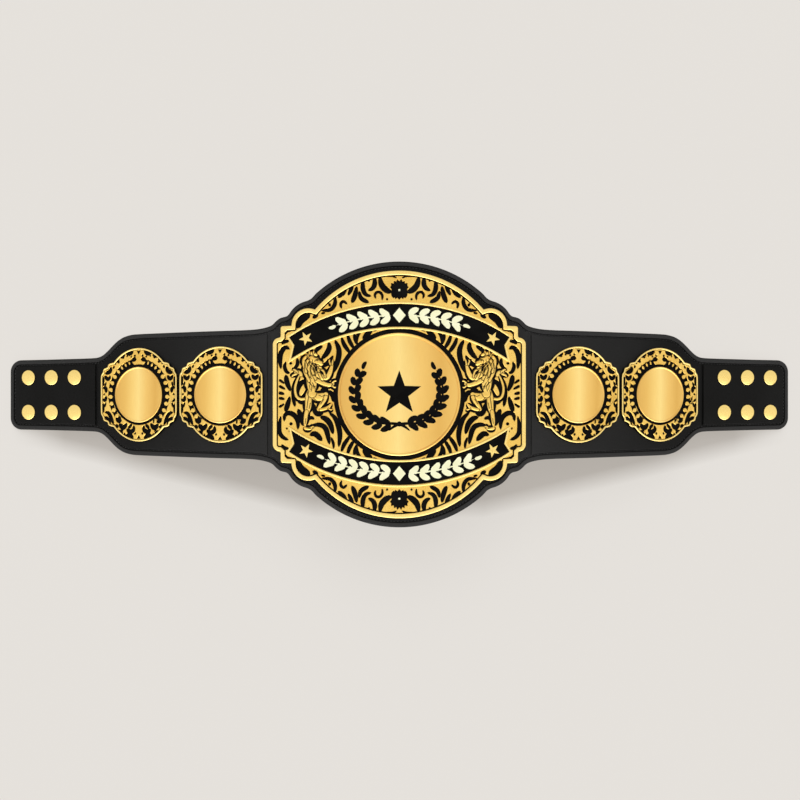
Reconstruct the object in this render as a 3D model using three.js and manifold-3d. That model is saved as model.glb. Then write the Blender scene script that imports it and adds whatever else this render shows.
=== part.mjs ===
// A championship title belt: a long leather strap with raised leather panels, one large cast
// plate and four small ones with pierced scrollwork over a black enamel ground, and twelve snaps.
//
// Lengths are in millimetres. The belt lies face up, arched, on its two ends: X runs along it,
// Y across it and Z up, with the origin on the ground below the middle of the main plate.
//
// Each piece is first made flat. There u runs along the belt from its middle, v runs across it,
// and h is the height above the back of the strap. The flat pieces are then folded together over
// one row of small bends, so that stacked pieces stay parallel and keep their clearance.
import * as THREE from "three";
import { mergeVertices } from "three/addons/utils/BufferGeometryUtils.js";
import Module from "manifold-3d";

const wasm = await Module();
wasm.setup();

// Clearances
const fitGap = 0.3; // between stacked pieces
const inlayGap = 0.8; // the black line round a piece that is let into another

// Leather
const strapThickness = 3;
const panelThickness = 1.5;
const panelInset = 7; // rim of the strap that stays free round the raised panels
const waistHeight = 131; // across the strap beside the main plate
const tabHeight = 77; // across the snap tabs
const tabLength = 107.5; // from the last small plate's panel to the end of the strap
const tabCorner = 13;
const neckLength = 48; // where the strap narrows to the tab
const neckLead = 4; // how far past the last panel the neck ends
const panelSeam = 3.5; // between one raised panel and the next

// Main plate
const plateWidth = 258;
const plateHeight = 248;
const plateThickness = 2.2;
const reliefThickness = 1.1;
const rimWidth = 4.3;
const rimRise = 0.5; // of the rim above the scrollwork
const strapMargin = 9.9; // leather above the crown of the main plate

// Centre disc
const discRadius = 61.5;
const discThickness = 1.9;
const discBorder = 2;
const discRing = 4; // black ring round the disc
const webWidth = 1.2; // least width of gold between a stroke and the edge of the scrollwork

// Banners
const bannerHeight = 23.2;
const bannerDrop = 44.8; // from the top of the plate to the middle of a banner
const bannerRadius = 205;
const bannerEndInset = 17.5; // from the side of the plate to the tip of a banner's black field
const bannerEdge = 2;
const bannerNotch = 5.5;
const bannerThickness = 1.1;
const fieldThickness = 0.6;
const starRadius = 7;
const starWaist = 2.8;
const starInset = 17.5; // from the tip of the banner to the middle of a star
const starThickness = 0.6;

// Lions
const lionThickness = 1.3;

// Small plates
const sideWidth = 94;
const sideHeight = 98.8;
const sideThickness = 1.8;
const sideRimWidth = 2.1;
const sideDiscRadius = 29.3;
const sideDiscRing = 2.4;
const markInner = 33.4;
const markOuter = 39.2;
const markCount = 10;
const plateToSide = 11; // from the main plate to the first small plate
const sideToSide = 3.4; // from one small plate to the next
const sideToSeam = 5.6; // from the last small plate to the end of its panel

// Snaps
const capRadius = 8;
const capHeight = 1.9;
const shankRadius = 2.6;
const shankClearance = 0.35;
const socketRadius = 6;
const socketHeight = 1.5;
const snapColumns = 3;
const snapPitch = 28.4;
const snapRows = 37.8; // between the two rows
const snapFromEnd = 24; // from the end of the strap to the last snap

// How fine the curves are
const crownSteps = 7;
const sideCrownSteps = 4;
const cornerSteps = 3;
const neckSteps = 5;
const discSides = 32;
const sideDiscSides = 20;
const snapSides = 8;
const holeSides = 8;
const strokeSteps = 4;

// Places on the main plate
const bannerOffset = plateHeight / 2 - bannerDrop;
const bannerSpan = plateWidth - 2 * bannerEndInset;
const starOffset = bannerSpan / 2 - starInset;

// Places along the belt, worked out from the middle
const sideCentres = [
  plateWidth / 2 + plateToSide + sideWidth / 2,
  plateWidth / 2 + plateToSide + sideWidth * 1.5 + sideToSide,
];
const sidePanelEnd = sideCentres[1] + sideWidth / 2 + sideToSeam;
const centrePanelEnd = plateWidth / 2 + (plateToSide - panelSeam) / 2;
const beltHalf = sidePanelEnd + panelSeam / 2 + tabLength;

// Heights of the layers above the back of the strap
const panelLevel = strapThickness + fitGap;
const plateLevel = panelLevel + panelThickness + fitGap;
const reliefLevel = plateLevel + plateThickness + fitGap;
const bannerLevel = reliefLevel + reliefThickness + fitGap;
const starLevel = bannerLevel + fieldThickness + fitGap;
const sideReliefLevel = plateLevel + sideThickness + fitGap;
const neutralLevel = plateLevel + plateThickness; // lengths along the belt are true here

// The bends of one half of the belt, from the middle outwards. Each stretch is a share of the
// half length and turns down by its angle in a few equal folds; the neck turns back up.
const bendTable = [
  { stretch: 0.426, turn: 18, folds: 5 }, // centre
  { stretch: 0.213, turn: 4.6, folds: 2 }, // shoulder
  { stretch: 0.135, turn: -7.3, folds: 2 }, // neck
];

// Upper part of the main plate's outline past its crown: shares of half the width and height
const shoulder = { u: 0.659, v: 0.689 };
const scallopEnd = { u: 0.841, v: 0.558 };
const step = { u: 0.936, v: 0.558 };
const pillar = { u: 1, v: 0.464 };
const scallopBulge = 0.27;
const stepCorner = 2.5;
const pillarCorner = 7;

// Outline of the strap beside the crown, in shares of the main plate's half width and height
const strapShoulder = [
  { u: 0.655, v: 0.828 },
  { u: 0.7, v: 0.784 },
  { u: 0.763, v: 0.758 },
  { u: 0.827, v: 0.723 },
  { u: 0.868, v: 0.673 },
  { u: 0.9, v: 0.641 },
  { u: 0.957, v: 0.627 },
  { u: 0.991, v: 0.603 },
  { u: 1.024, v: 0.571 },
  { u: 1.09, v: 0.548 },
];

// Outline of a small plate past its crown: shares of half its width and height
const sideShoulder = [
  { u: 0.66, v: 0.694 },
  { u: 0.79, v: 0.67 },
  { u: 0.815, v: 0.605 },
  { u: 0.93, v: 0.555 },
  { u: 0.945, v: 0.49 },
  { u: 1, v: 0.38 },
];

// Strokes are tapered and run from one point by way of a second to a third. Places and widths are
// hundredths of the plate's half width, those across the belt of its half height. The belly is
// the share of the way along at which a stroke is widest.

// Cut through all four corners of the main plate
const cornerStrokes = [
  { u1: 14.5, v1: 93.5, u2: 10.5, v2: 86, u3: 8, v3: 80.5, width: 4, belly: 0.4 },
  { u1: 19.2, v1: 93, u2: 18.5, v2: 87.5, u3: 23.5, v3: 83.5, width: 3.4, belly: 0.6 },
  { u1: 28, v1: 90, u2: 28, v2: 84, u3: 23, v3: 79, width: 3, belly: 0.4 },
  { u1: 33.3, v1: 85.5, u2: 34, v2: 80, u3: 36.5, v3: 75, width: 3.6, belly: 0.5 },
  { u1: 41, v1: 84.5, u2: 45.5, v2: 83, u3: 48.5, v3: 79, width: 3.4, belly: 0.5 },
  { u1: 51.2, v1: 76.5, u2: 51, v2: 69.5, u3: 58, v3: 67, width: 3, belly: 0.4 },
  { u1: 70.5, v1: 64, u2: 76, v2: 61.5, u3: 78, v3: 56, width: 3.4, belly: 0.4 },
];

// Cut through both sides of the main plate, round the lions
const flankStrokes = [
  { u1: 86.5, v1: 38, u2: 93, v2: 31.5, u3: 93, v3: 20.5, width: 3.2, belly: 0.5 },
  { u1: 79.6, v1: 29, u2: 81, v2: 19.5, u3: 88.5, v3: 24.5, width: 3, belly: 0.5 },
  { u1: 89.5, v1: 15.5, u2: 88, v2: 9.5, u3: 85.5, v3: 4, width: 3.6, belly: 0.3 },
  { u1: 86, v1: -3, u2: 88, v2: -8, u3: 89.5, v3: -13.5, width: 3.6, belly: 0.7 },
  { u1: 93, v1: -19, u2: 93.5, v2: -30.5, u3: 87, v3: -36, width: 3.2, belly: 0.5 },
  { u1: 90, v1: -20.5, u2: 82.5, v2: -17.5, u3: 79.8, v3: -27, width: 3, belly: 0.6 },
  { u1: 60.5, v1: -18.5, u2: 57.5, v2: -24, u3: 52, v3: -29, width: 3.8, belly: 0.5 },
  { u1: 54.5, v1: -14.5, u2: 47.5, v2: -25.5, u3: 48, v3: -41, width: 3.2, belly: 0.6 },
  { u1: 67, v1: -26, u2: 57, v2: -28.5, u3: 54.5, v3: -40, width: 3.2, belly: 0.5 },
  { u1: 69.5, v1: -33, u2: 64, v2: -32.5, u3: 60.5, v3: -37.5, width: 3, belly: 0.4 },
  { u1: 54, v1: 41.5, u2: 55.5, v2: 35, u3: 59.5, v3: 29.5, width: 3.8, belly: 0.5 },
  { u1: 49.5, v1: 43, u2: 46.5, v2: 36, u3: 47.5, v3: 25.5, width: 3, belly: 0.5 },
  { u1: 41, v1: 46.5, u2: 39.5, v2: 43.5, u3: 37.5, v3: 40.5, width: 3, belly: 0.4 },
];

// The opening in the scrollwork that holds a lion, open towards the disc
const lionField = [
  { u: 44, v: 22 },
  { u: 52.5, v: 26.5 },
  { u: 62, v: 36.5 },
  { u: 74, v: 36.5 },
  { u: 78, v: 30 },
  { u: 79, v: 21 },
  { u: 86.5, v: 21 },
  { u: 86.5, v: 14.5 },
  { u: 84.5, v: 0 },
  { u: 80.5, v: -6.5 },
  { u: 76.5, v: -14 },
  { u: 77.5, v: -29.5 },
  { u: 67, v: -30.5 },
  { u: 63.5, v: -15 },
  { u: 52, v: -14.5 },
  { u: 44, v: -8 },
];

// A lion rampant, in strokes that overlap into one body
const lionStrokes = [
  { u1: 72, v1: 30, u2: 71, v2: 20, u3: 66, v3: 8, width: 11, belly: 0.4 }, // mane and chest
  { u1: 69, v1: 20, u2: 68, v2: 8, u3: 67, v3: -4, width: 9, belly: 0.4 }, // trunk
  { u1: 72, v1: 28, u2: 66.5, v2: 28, u3: 60, v3: 23.5, width: 8.5, belly: 0.4 }, // head
  { u1: 72.5, v1: 31, u2: 67.5, v2: 32.6, u3: 62, v3: 30.5, width: 4.5, belly: 0.5 }, // crown
  { u1: 69, v1: 19, u2: 56.5, v2: 12.5, u3: 52, v3: 24.5, width: 5, belly: 0.4 }, // upper foreleg
  { u1: 69, v1: 14.5, u2: 60, v2: 9, u3: 50.5, v3: 7, width: 4.6, belly: 0.4 }, // lower foreleg
  { u1: 70, v1: 0, u2: 62.5, v2: -3.5, u3: 56.5, v3: 0.5, width: 7, belly: 0.5 }, // thigh
  { u1: 57.5, v1: 1.5, u2: 59, v2: -6, u3: 64, v3: -13, width: 4, belly: 0.4 }, // shin
  { u1: 64, v1: -11.5, u2: 59, v2: -12, u3: 53.5, v3: -10.5, width: 3.2, belly: 0.5 }, // raised paw
  { u1: 67, v1: 2, u2: 71.5, v2: -7, u3: 73, v3: -18, width: 7.5, belly: 0.35 }, // standing leg
  { u1: 72.3, v1: -12, u2: 73.5, v2: -21, u3: 74.2, v3: -28, width: 3.6, belly: 0.3 }, // shank
  { u1: 75.5, v1: -27, u2: 72.5, v2: -28, u3: 68.5, v3: -27.7, width: 3, belly: 0.5 }, // standing paw
  { u1: 69, v1: 0, u2: 79.5, v2: -4, u3: 81.5, v3: 7, width: 2.6, belly: 0.4 }, // root of the tail
  { u1: 81.6, v1: 2.5, u2: 81, v2: 10, u3: 77.5, v3: 18, width: 2.4, belly: 0.5 }, // tail
  { u1: 76.5, v1: 15, u2: 80, v2: 18.5, u3: 84.5, v3: 16.5, width: 4, belly: 0.6 }, // tuft
];

// Cut through the four corners of a small plate, in hundredths of its half width and height
const sideStrokes = [
  { u1: 74, v1: 62, u2: 84, v2: 56, u3: 87, v3: 44, width: 5, belly: 0.5 },
];

// Material of each kind of piece: colour, roughness and metalness
const finishes = {
  leather: { color: 0x1d1e20, roughness: 0.55, metalness: 0 },
  gold: { color: 0xe3b95c, roughness: 0.3, metalness: 1 },
  brushedGold: { color: 0xecc56a, roughness: 0.38, metalness: 1 },
  enamel: { color: 0x0d0d0e, roughness: 0.25, metalness: 0 },
};

const degrees = Math.PI / 180;

// Flat outlines

function arc(centreU, centreV, radius, from, to, steps) {
  const points = [];
  for (let i = 0; i <= steps; i += 1) {
    const angle = from + ((to - from) * i) / steps;
    points.push(
      new THREE.Vector2(centreU + radius * Math.cos(angle), centreV + radius * Math.sin(angle)),
    );
  }
  return points;
}

function circleLoop(radius, sides) {
  return arc(0, 0, radius, 0, 2 * Math.PI * (1 - 1 / sides), sides - 1);
}

// From the top of a crown on the centre line, level there, down to a point at its shoulder
function crownArc(top, end, steps) {
  const drop = top - end.y;
  const radius = (end.x ** 2 + drop ** 2) / (2 * drop);
  const reach = Math.atan2(end.x, end.y - top + radius);
  return arc(0, top - radius, radius, Math.PI / 2, Math.PI / 2 - reach, steps);
}

// A quarter turn clockwise that rounds the outer corner at (u, v)
function cornerArc(u, v, radius, steps) {
  return arc(u - radius, v - radius, radius, Math.PI / 2, 0, steps);
}

// Between two points, standing out to the left of the way by a share of the chord
function bulgeArc(start, end, share, steps) {
  const across = new THREE.Vector2(start.y - end.y, end.x - start.x);
  const points = [];
  for (let i = 0; i <= steps; i += 1) {
    const t = i / steps;
    points.push(start.clone().lerp(end, t).addScaledVector(across, share * 4 * t * (1 - t)));
  }
  return points;
}

// The quarter from the top centre to the right centre, mirrored into a whole loop
function fourfold(quarter) {
  const turned = (signU, signV) =>
    quarter.map((p) => new THREE.Vector2(p.x * signU, p.y * signV));
  const loop = [
    ...turned(1, 1),
    ...turned(1, -1).reverse(),
    ...turned(-1, -1),
    ...turned(-1, 1).reverse(),
  ];
  return loop.filter((p, i) => p.distanceTo(loop[(i + 1) % loop.length]) > 0.01);
}

function fromShares(rows, halfWidth, halfHeight) {
  return rows.map(({ u, v }) => new THREE.Vector2(u * halfWidth, v * halfHeight));
}

function mainPlateLoop() {
  const halfWidth = plateWidth / 2;
  const halfHeight = plateHeight / 2;
  const [cusp, end, corner, side] = fromShares(
    [shoulder, scallopEnd, step, pillar],
    halfWidth,
    halfHeight,
  );
  return fourfold([
    ...crownArc(halfHeight, cusp, crownSteps),
    ...bulgeArc(cusp, end, scallopBulge, cornerSteps + 2),
    ...cornerArc(corner.x, corner.y, stepCorner, 1),
    ...cornerArc(side.x, side.y, pillarCorner, cornerSteps),
    new THREE.Vector2(halfWidth, 0),
  ]);
}

function sidePlateLoop() {
  const rows = fromShares(sideShoulder, sideWidth / 2, sideHeight / 2);
  return fourfold([
    ...crownArc(sideHeight / 2, rows[0], sideCrownSteps),
    ...rows,
    new THREE.Vector2(sideWidth / 2, 0),
  ]);
}

function strapLoop() {
  const rows = fromShares(strapShoulder, plateWidth / 2, plateHeight / 2);
  const neckEnd = sidePanelEnd + panelSeam + neckLead;
  const neck = [];
  for (let i = 0; i <= neckSteps; i += 1) {
    const t = i / neckSteps;
    const ease = t * t * (3 - 2 * t);
    neck.push(
      new THREE.Vector2(
        neckEnd - neckLength * (1 - t),
        (waistHeight + (tabHeight - waistHeight) * ease) / 2,
      ),
    );
  }
  return fourfold([
    ...crownArc(plateHeight / 2 + strapMargin, rows[0], crownSteps),
    ...rows,
    new THREE.Vector2(sideCentres[0] - sideWidth / 3, waistHeight / 2),
    ...neck,
    ...cornerArc(beltHalf, tabHeight / 2, tabCorner, cornerSteps + 1),
    new THREE.Vector2(beltHalf, 0),
  ]);
}

// The black field of a banner, or with an edge its whole outline: an arched ribbon with forked ends
function bannerLoop(edge) {
  const sagAt = (u) => bannerRadius - Math.sqrt(bannerRadius ** 2 - u ** 2);
  const reach = bannerSpan / 2 + edge;
  const half = bannerHeight / 2 + edge;
  const long = [];
  for (let i = 0; i <= crownSteps; i += 1) long.push(-reach + (2 * reach * i) / crownSteps);
  const upper = long.map((u) => new THREE.Vector2(u, bannerOffset + half - sagAt(u)));
  const lower = long.map((u) => {
    const drawn = u * (1 - bannerEdge / reach);
    return new THREE.Vector2(drawn, bannerOffset - half - sagAt(drawn));
  });
  const notch = reach - bannerNotch;
  const fork = (side) => new THREE.Vector2(side * notch, bannerOffset - sagAt(notch));
  return [...upper, fork(1), ...lower.reverse(), fork(-1)];
}

function starLoop() {
  const points = [];
  for (let i = 0; i < 10; i += 1) {
    const angle = (Math.PI * i) / 5 + Math.PI / 2;
    const radius = i % 2 ? starWaist : starRadius;
    points.push(new THREE.Vector2(radius * Math.cos(angle), radius * Math.sin(angle)));
  }
  return points;
}

// A loop drawn in by a distance. Points that would come nearer to the old loop are left out.
function insetLoop(loop, distance) {
  const count = loop.length;
  const wound = THREE.ShapeUtils.isClockWise(loop) ? -1 : 1;
  const inner = [];
  loop.forEach((point, i) => {
    const before = point.clone().sub(loop[(i + count - 1) % count]).normalize();
    const after = loop[(i + 1) % count].clone().sub(point).normalize();
    const inward = new THREE.Vector2(-before.y - after.y, before.x + after.x).normalize();
    const lean = Math.max(0.35, -inward.x * before.y + inward.y * before.x);
    inner.push(point.clone().addScaledVector(inward, (wound * distance) / lean));
  });
  const kept = inner.filter((point) => distanceToLoop(point, loop) > distance - 0.02);
  return kept.filter((point, i) => point.distanceTo(kept[(i + 1) % kept.length]) > 0.05);
}

function distanceToLoop(point, loop) {
  let least = Infinity;
  loop.forEach((start, i) => {
    const way = loop[(i + 1) % loop.length].clone().sub(start);
    const along = point.clone().sub(start).dot(way) / way.lengthSq();
    const foot = start.clone().addScaledVector(way, Math.min(1, Math.max(0, along)));
    least = Math.min(least, foot.distanceTo(point));
  });
  return least;
}

// The outline of one stroke: half widths swell to the belly and run out at both ends
function strokeLoop(row, halfWidth, halfHeight, mirrorU, mirrorV) {
  const place = (u, v) =>
    new THREE.Vector2((mirrorU * u * halfWidth) / 100, (mirrorV * v * halfHeight) / 100);
  const start = place(row.u1, row.v1);
  const via = place(row.u2, row.v2);
  const end = place(row.u3, row.v3);
  const control = via.clone().multiplyScalar(2).addScaledVector(start, -0.5).addScaledVector(end, -0.5);
  const path = new THREE.QuadraticBezierCurve(start, control, end);
  const left = [];
  const right = [];
  for (let i = 1; i < strokeSteps; i += 1) {
    const t = i / strokeSteps;
    const swell = t < row.belly ? t / row.belly : (1 - t) / (1 - row.belly);
    const half = ((row.width * halfWidth) / 200) * Math.sqrt(swell * (2 - swell));
    const point = path.getPoint(t);
    const way = path.getTangent(t);
    const across = new THREE.Vector2(-way.y, way.x);
    left.push(point.clone().addScaledVector(across, half));
    right.push(point.clone().addScaledVector(across, -half));
  }
  return [start, ...left, end, ...right.reverse()];
}

// Flat solids

function slab(loop, level, thickness) {
  const geometry = new THREE.ExtrudeGeometry(new THREE.Shape(loop), {
    depth: thickness,
    bevelEnabled: false,
    steps: 1,
  });
  return toSolid(geometry.translate(0, 0, level));
}

function toSolid(geometry) {
  const bare = new THREE.BufferGeometry();
  bare.setAttribute("position", geometry.getAttribute("position"));
  if (geometry.index) bare.setIndex(geometry.index);
  const merged = mergeVertices(bare, 1e-3);
  return new wasm.Manifold(
    new wasm.Mesh({
      numProp: 3,
      vertProperties: merged.getAttribute("position").array,
      triVerts: new Uint32Array(merged.index.array),
    }),
  );
}

function turned(rows, sides) {
  const profile = rows.map(({ r, h }) => new THREE.Vector2(r, h));
  return new THREE.LatheGeometry(profile, sides).rotateX(Math.PI / 2);
}

function disc(radius, level, thickness, border, sides) {
  const top = level + thickness;
  const low = thickness * 0.7;
  return turned(
    [
      { r: 0, h: level },
      { r: radius, h: level },
      { r: radius - border * 0.4, h: top },
      { r: radius - border, h: top },
      { r: radius - border * 1.2, h: level + low },
      { r: 0, h: level + low },
    ],
    sides,
  );
}

function bore(u, v, radius, sides) {
  const deep = bannerLevel * 2;
  const cylinder = new THREE.CylinderGeometry(radius, radius, deep, sides);
  return toSolid(cylinder.rotateX(Math.PI / 2).translate(u, v, 0));
}

// The part of a solid between two places along the belt
function stretchOf(solid, from, to) {
  const box = new THREE.BoxGeometry(to - from, plateHeight * 2, bannerLevel * 4);
  return solid.intersect(toSolid(box.translate((from + to) / 2, 0, 0)));
}

function pierce(solid, loops, level, thickness) {
  return loops.reduce(
    (rest, loop) => rest.subtract(slab(loop, level - thickness, thickness * 3)),
    solid,
  );
}

// The folded centre line: where each fold of one half lies, and which way its bisector points

function foldLine() {
  const folds = [{ along: 0, x: 0, z: 0, angle: 0, turn: 0 }];
  let start = 0;
  for (const { stretch, turn, folds: count } of bendTable) {
    const length = stretch * beltHalf;
    for (let k = 0; k < count; k += 1) {
      folds.push({ along: start + ((k + 0.5) * length) / count, turn: (turn / count) * degrees });
    }
    start += length;
  }
  folds.push({ along: beltHalf, turn: 0 });
  folds.slice(1).forEach((fold, i) => {
    const last = folds[i];
    const run = fold.along - last.along;
    fold.x = last.x + run * Math.cos(last.angle);
    fold.z = last.z - run * Math.sin(last.angle);
    fold.angle = last.angle + fold.turn;
  });
  return folds;
}

const folds = foldLine();
const foldPlaces = folds
  .slice(1, -1)
  .flatMap(({ along }) => [-Math.fround(along), Math.fround(along)])
  .sort((a, b) => a - b);
const settleReach = 0.04; // points of a flat solid keep this far from a fold
const seamReach = 0.01; // points of a fold nearer than this are one

// Where a fold carries a point that lies above or below the neutral level
function onFold(fold, above) {
  const middle = fold.angle - fold.turn / 2;
  const reach = above / Math.cos(fold.turn / 2);
  return { x: fold.x + reach * Math.sin(middle), z: fold.z + reach * Math.cos(middle) };
}

function foldPoint(point) {
  const along = Math.abs(point.x);
  let k = 1;
  while (k < folds.length - 1 && folds[k].along < along) k += 1;
  const [from, to] = [folds[k - 1], folds[k]];
  const share = (along - from.along) / (to.along - from.along);
  const above = point.z - neutralLevel;
  const [a, b] = [onFold(from, above), onFold(to, above)];
  const side = point.x < 0 ? -1 : 1;
  point.set(side * (a.x + (b.x - a.x) * share), point.y, a.z + (b.z - a.z) * share);
}

// A flat solid whose points keep a small distance from every fold, so that no wall lies in one
function settled(solid) {
  const { vertProperties, triVerts, numProp } = solid.getMesh();
  for (let i = 0; i < vertProperties.length; i += numProp) {
    const place = foldPlaces.find((x) => Math.abs(vertProperties[i] - x) < settleReach);
    if (place === undefined) continue;
    vertProperties[i] = place + (vertProperties[i] < place ? -settleReach : settleReach);
  }
  return new wasm.Manifold(new wasm.Mesh({ numProp, vertProperties, triVerts }));
}

// Cuts a flat solid at every fold, leaves out the faces of the cuts, joins the stretches again at
// the points that they share there, and carries each point to its folded place
function foldGeometry(solid) {
  const whole = settled(solid);
  const points = [];
  const faces = [];
  const seams = new Map(foldPlaces.map((place) => [place, []]));
  const ends = [-2 * beltHalf, ...foldPlaces, 2 * beltHalf];

  const seamPoint = (place, point) => {
    const known = seams.get(place).find((i) => points[i].distanceTo(point) < seamReach);
    if (known !== undefined) return known;
    const made = points.push(point.setX(place)) - 1;
    seams.get(place).push(made);
    return made;
  };

  // The points of a seam that lie on the way from one of its points to another
  const between = (from, to) => {
    const [a, b] = [points[from], points[to]];
    if (a.x !== b.x || !seams.has(a.x)) return [];
    const length = a.distanceTo(b);
    const share = (i) => points[i].clone().sub(a).dot(b.clone().sub(a)) / length ** 2;
    const foot = (i) => a.clone().lerp(b, share(i));
    return seams
      .get(a.x)
      .filter((i) => i !== from && i !== to && share(i) > 0 && share(i) < 1)
      .filter((i) => foot(i).distanceTo(points[i]) < seamReach)
      .sort((i, j) => share(i) - share(j));
  };

  for (let k = 1; k < ends.length; k += 1) {
    const mesh = stretchOf(whole, ends[k - 1], ends[k]).getMesh();
    const index = [];
    for (let i = 0; i < mesh.numVert; i += 1) {
      const point = new THREE.Vector3().fromArray(mesh.vertProperties, i * mesh.numProp);
      const place = [ends[k - 1], ends[k]].find((end) => Math.abs(point.x - end) < seamReach);
      index.push(place === undefined ? points.push(point) - 1 : seamPoint(place, point));
    }
    for (let i = 0; i < mesh.numTri; i += 1) {
      const face = [...mesh.triVerts.slice(i * 3, i * 3 + 3)].map((vertex) => index[vertex]);
      const flat = new Set(face).size < 3;
      const cut = ends.some((end) => face.every((vertex) => points[vertex].x === end));
      if (!flat && !cut) faces.push(face);
    }
  }
  // A face takes in every seam point on its edges, so that both sides of a seam meet point to point
  const joined = faces.flatMap((face) => {
    const apex = face.findIndex((a, i) => points[a].x !== points[face[(i + 1) % 3]].x
      && points[a].x !== points[face[(i + 2) % 3]].x);
    const [a, b, c] = [0, 1, 2].map((i) => face[(i + Math.max(apex, 0)) % 3]);
    const ring = [b, ...between(b, c), c];
    return ring.slice(1).map((to, i) => [a, ring[i], to]);
  });
  points.forEach(foldPoint);
  const geometry = new THREE.BufferGeometry();
  geometry.setAttribute(
    "position",
    new THREE.Float32BufferAttribute(points.flatMap((p) => p.toArray()), 3),
  );
  geometry.setIndex(joined.flat());
  return geometry.toNonIndexed();
}

const belt = new THREE.Group();

function addPiece(name, finish, solid) {
  const geometry = foldGeometry(solid);
  geometry.computeVertexNormals();
  const mesh = new THREE.Mesh(geometry, new THREE.MeshStandardMaterial(finishes[finish]));
  mesh.name = name;
  belt.add(mesh);
}

// Strap, raised panels and snaps

function snapPlaces() {
  const places = [];
  for (let column = 0; column < snapColumns; column += 1) {
    const along = beltHalf - snapFromEnd - column * snapPitch;
    for (const row of [1, -1]) places.push({ u: along, v: (row * snapRows) / 2, column, row });
  }
  return places;
}

function makeLeather() {
  const outline = strapLoop();
  const inner = insetLoop(outline, panelInset);
  const strap = slab(outline, 0, strapThickness);
  const panels = slab(inner, panelLevel, panelThickness);
  const bores = snapPlaces().flatMap(({ u, v }) =>
    [-u, u].map((along) => bore(along, v, shankRadius + shankClearance, holeSides)),
  );
  const bored = (solid) => bores.reduce((rest, hole) => rest.subtract(hole), solid);
  addPiece("strap", "leather", bored(strap));
  addPiece("center_panel", "leather", stretchOf(panels, -centrePanelEnd, centrePanelEnd));
  const sideStart = centrePanelEnd + panelSeam;
  const tabStart = sidePanelEnd + panelSeam;
  const bothEnds = [
    { name: "right", from: (start) => start, to: (end) => end },
    { name: "left", from: (start, end) => -end, to: (end, start) => -start },
  ];
  for (const { name, from, to } of bothEnds) {
    const ofStretch = (start, end) => stretchOf(panels, from(start, end), to(end, start));
    addPiece(name + "_side_panel", "leather", ofStretch(sideStart, sidePanelEnd));
    addPiece(name + "_tab_panel", "leather", bored(ofStretch(tabStart, beltHalf)));
  }
}

function makeSnaps() {
  const seat = panelLevel + panelThickness + fitGap;
  const profile = [
    { r: 0, h: -fitGap - socketHeight },
    { r: socketRadius, h: -fitGap - socketHeight },
    { r: socketRadius, h: -fitGap },
    { r: shankRadius, h: -fitGap },
    { r: shankRadius, h: seat },
    { r: capRadius, h: seat },
    { r: capRadius * 0.72, h: seat + capHeight * 0.8 },
    { r: 0, h: seat + capHeight },
  ];
  for (const side of [-1, 1]) {
    for (const { u, v, column, row } of snapPlaces()) {
      const name = [side < 0 ? "left" : "right", row > 0 ? "top" : "bottom", "snap", column + 1];
      const snap = turned(profile, snapSides).translate(side * u, v, 0);
      addPiece(name.join("_"), "gold", toSolid(snap));
    }
  }
}

// Main plate

function makeMainPlate() {
  const outline = mainPlateLoop();
  const rimInner = insetLoop(outline, rimWidth);
  const fieldOutline = insetLoop(outline, rimWidth + inlayGap);
  const rimThickness = reliefThickness + rimRise;
  const ring = slab(outline, reliefLevel, rimThickness);
  addPiece("main_plate", "enamel", slab(outline, plateLevel, plateThickness));
  addPiece("main_rim", "gold", pierce(ring, [rimInner], reliefLevel, rimThickness));

  const halfWidth = plateWidth / 2;
  const halfHeight = plateHeight / 2;
  const openings = [circleLoop(discRadius + discRing, discSides)];
  const strokes = [];
  for (const mirrorU of [-1, 1]) {
    const field = lionField.map(
      ({ u, v }) => new THREE.Vector2((mirrorU * u * halfWidth) / 100, (v * halfHeight) / 100),
    );
    openings.push(field);
    for (const row of flankStrokes) strokes.push(strokeLoop(row, halfWidth, halfHeight, mirrorU, 1));
    for (const mirrorV of [-1, 1]) {
      for (const row of cornerStrokes) {
        strokes.push(strokeLoop(row, halfWidth, halfHeight, mirrorU, mirrorV));
      }
    }
  }
  // Strokes are cut where a web of gold is left round the disc and inside the rim
  const edge = slab(insetLoop(fieldOutline, webWidth), reliefLevel, reliefThickness);
  const ringLoop = circleLoop(discRadius + discRing + webWidth, discSides);
  const room = pierce(edge, [ringLoop], reliefLevel, reliefThickness);
  const cutters = strokes.map((loop) => slab(loop, reliefLevel, reliefThickness).intersect(room));
  const sheet = slab(fieldOutline, reliefLevel, reliefThickness);
  const cut = cutters.reduce((rest, cutter) => rest.subtract(cutter), sheet);
  addPiece("main_scrollwork", "gold", pierce(cut, openings, reliefLevel, reliefThickness));
  addPiece(
    "center_disc",
    "brushedGold",
    toSolid(disc(discRadius, reliefLevel, discThickness, discBorder, discSides)),
  );
}

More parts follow.
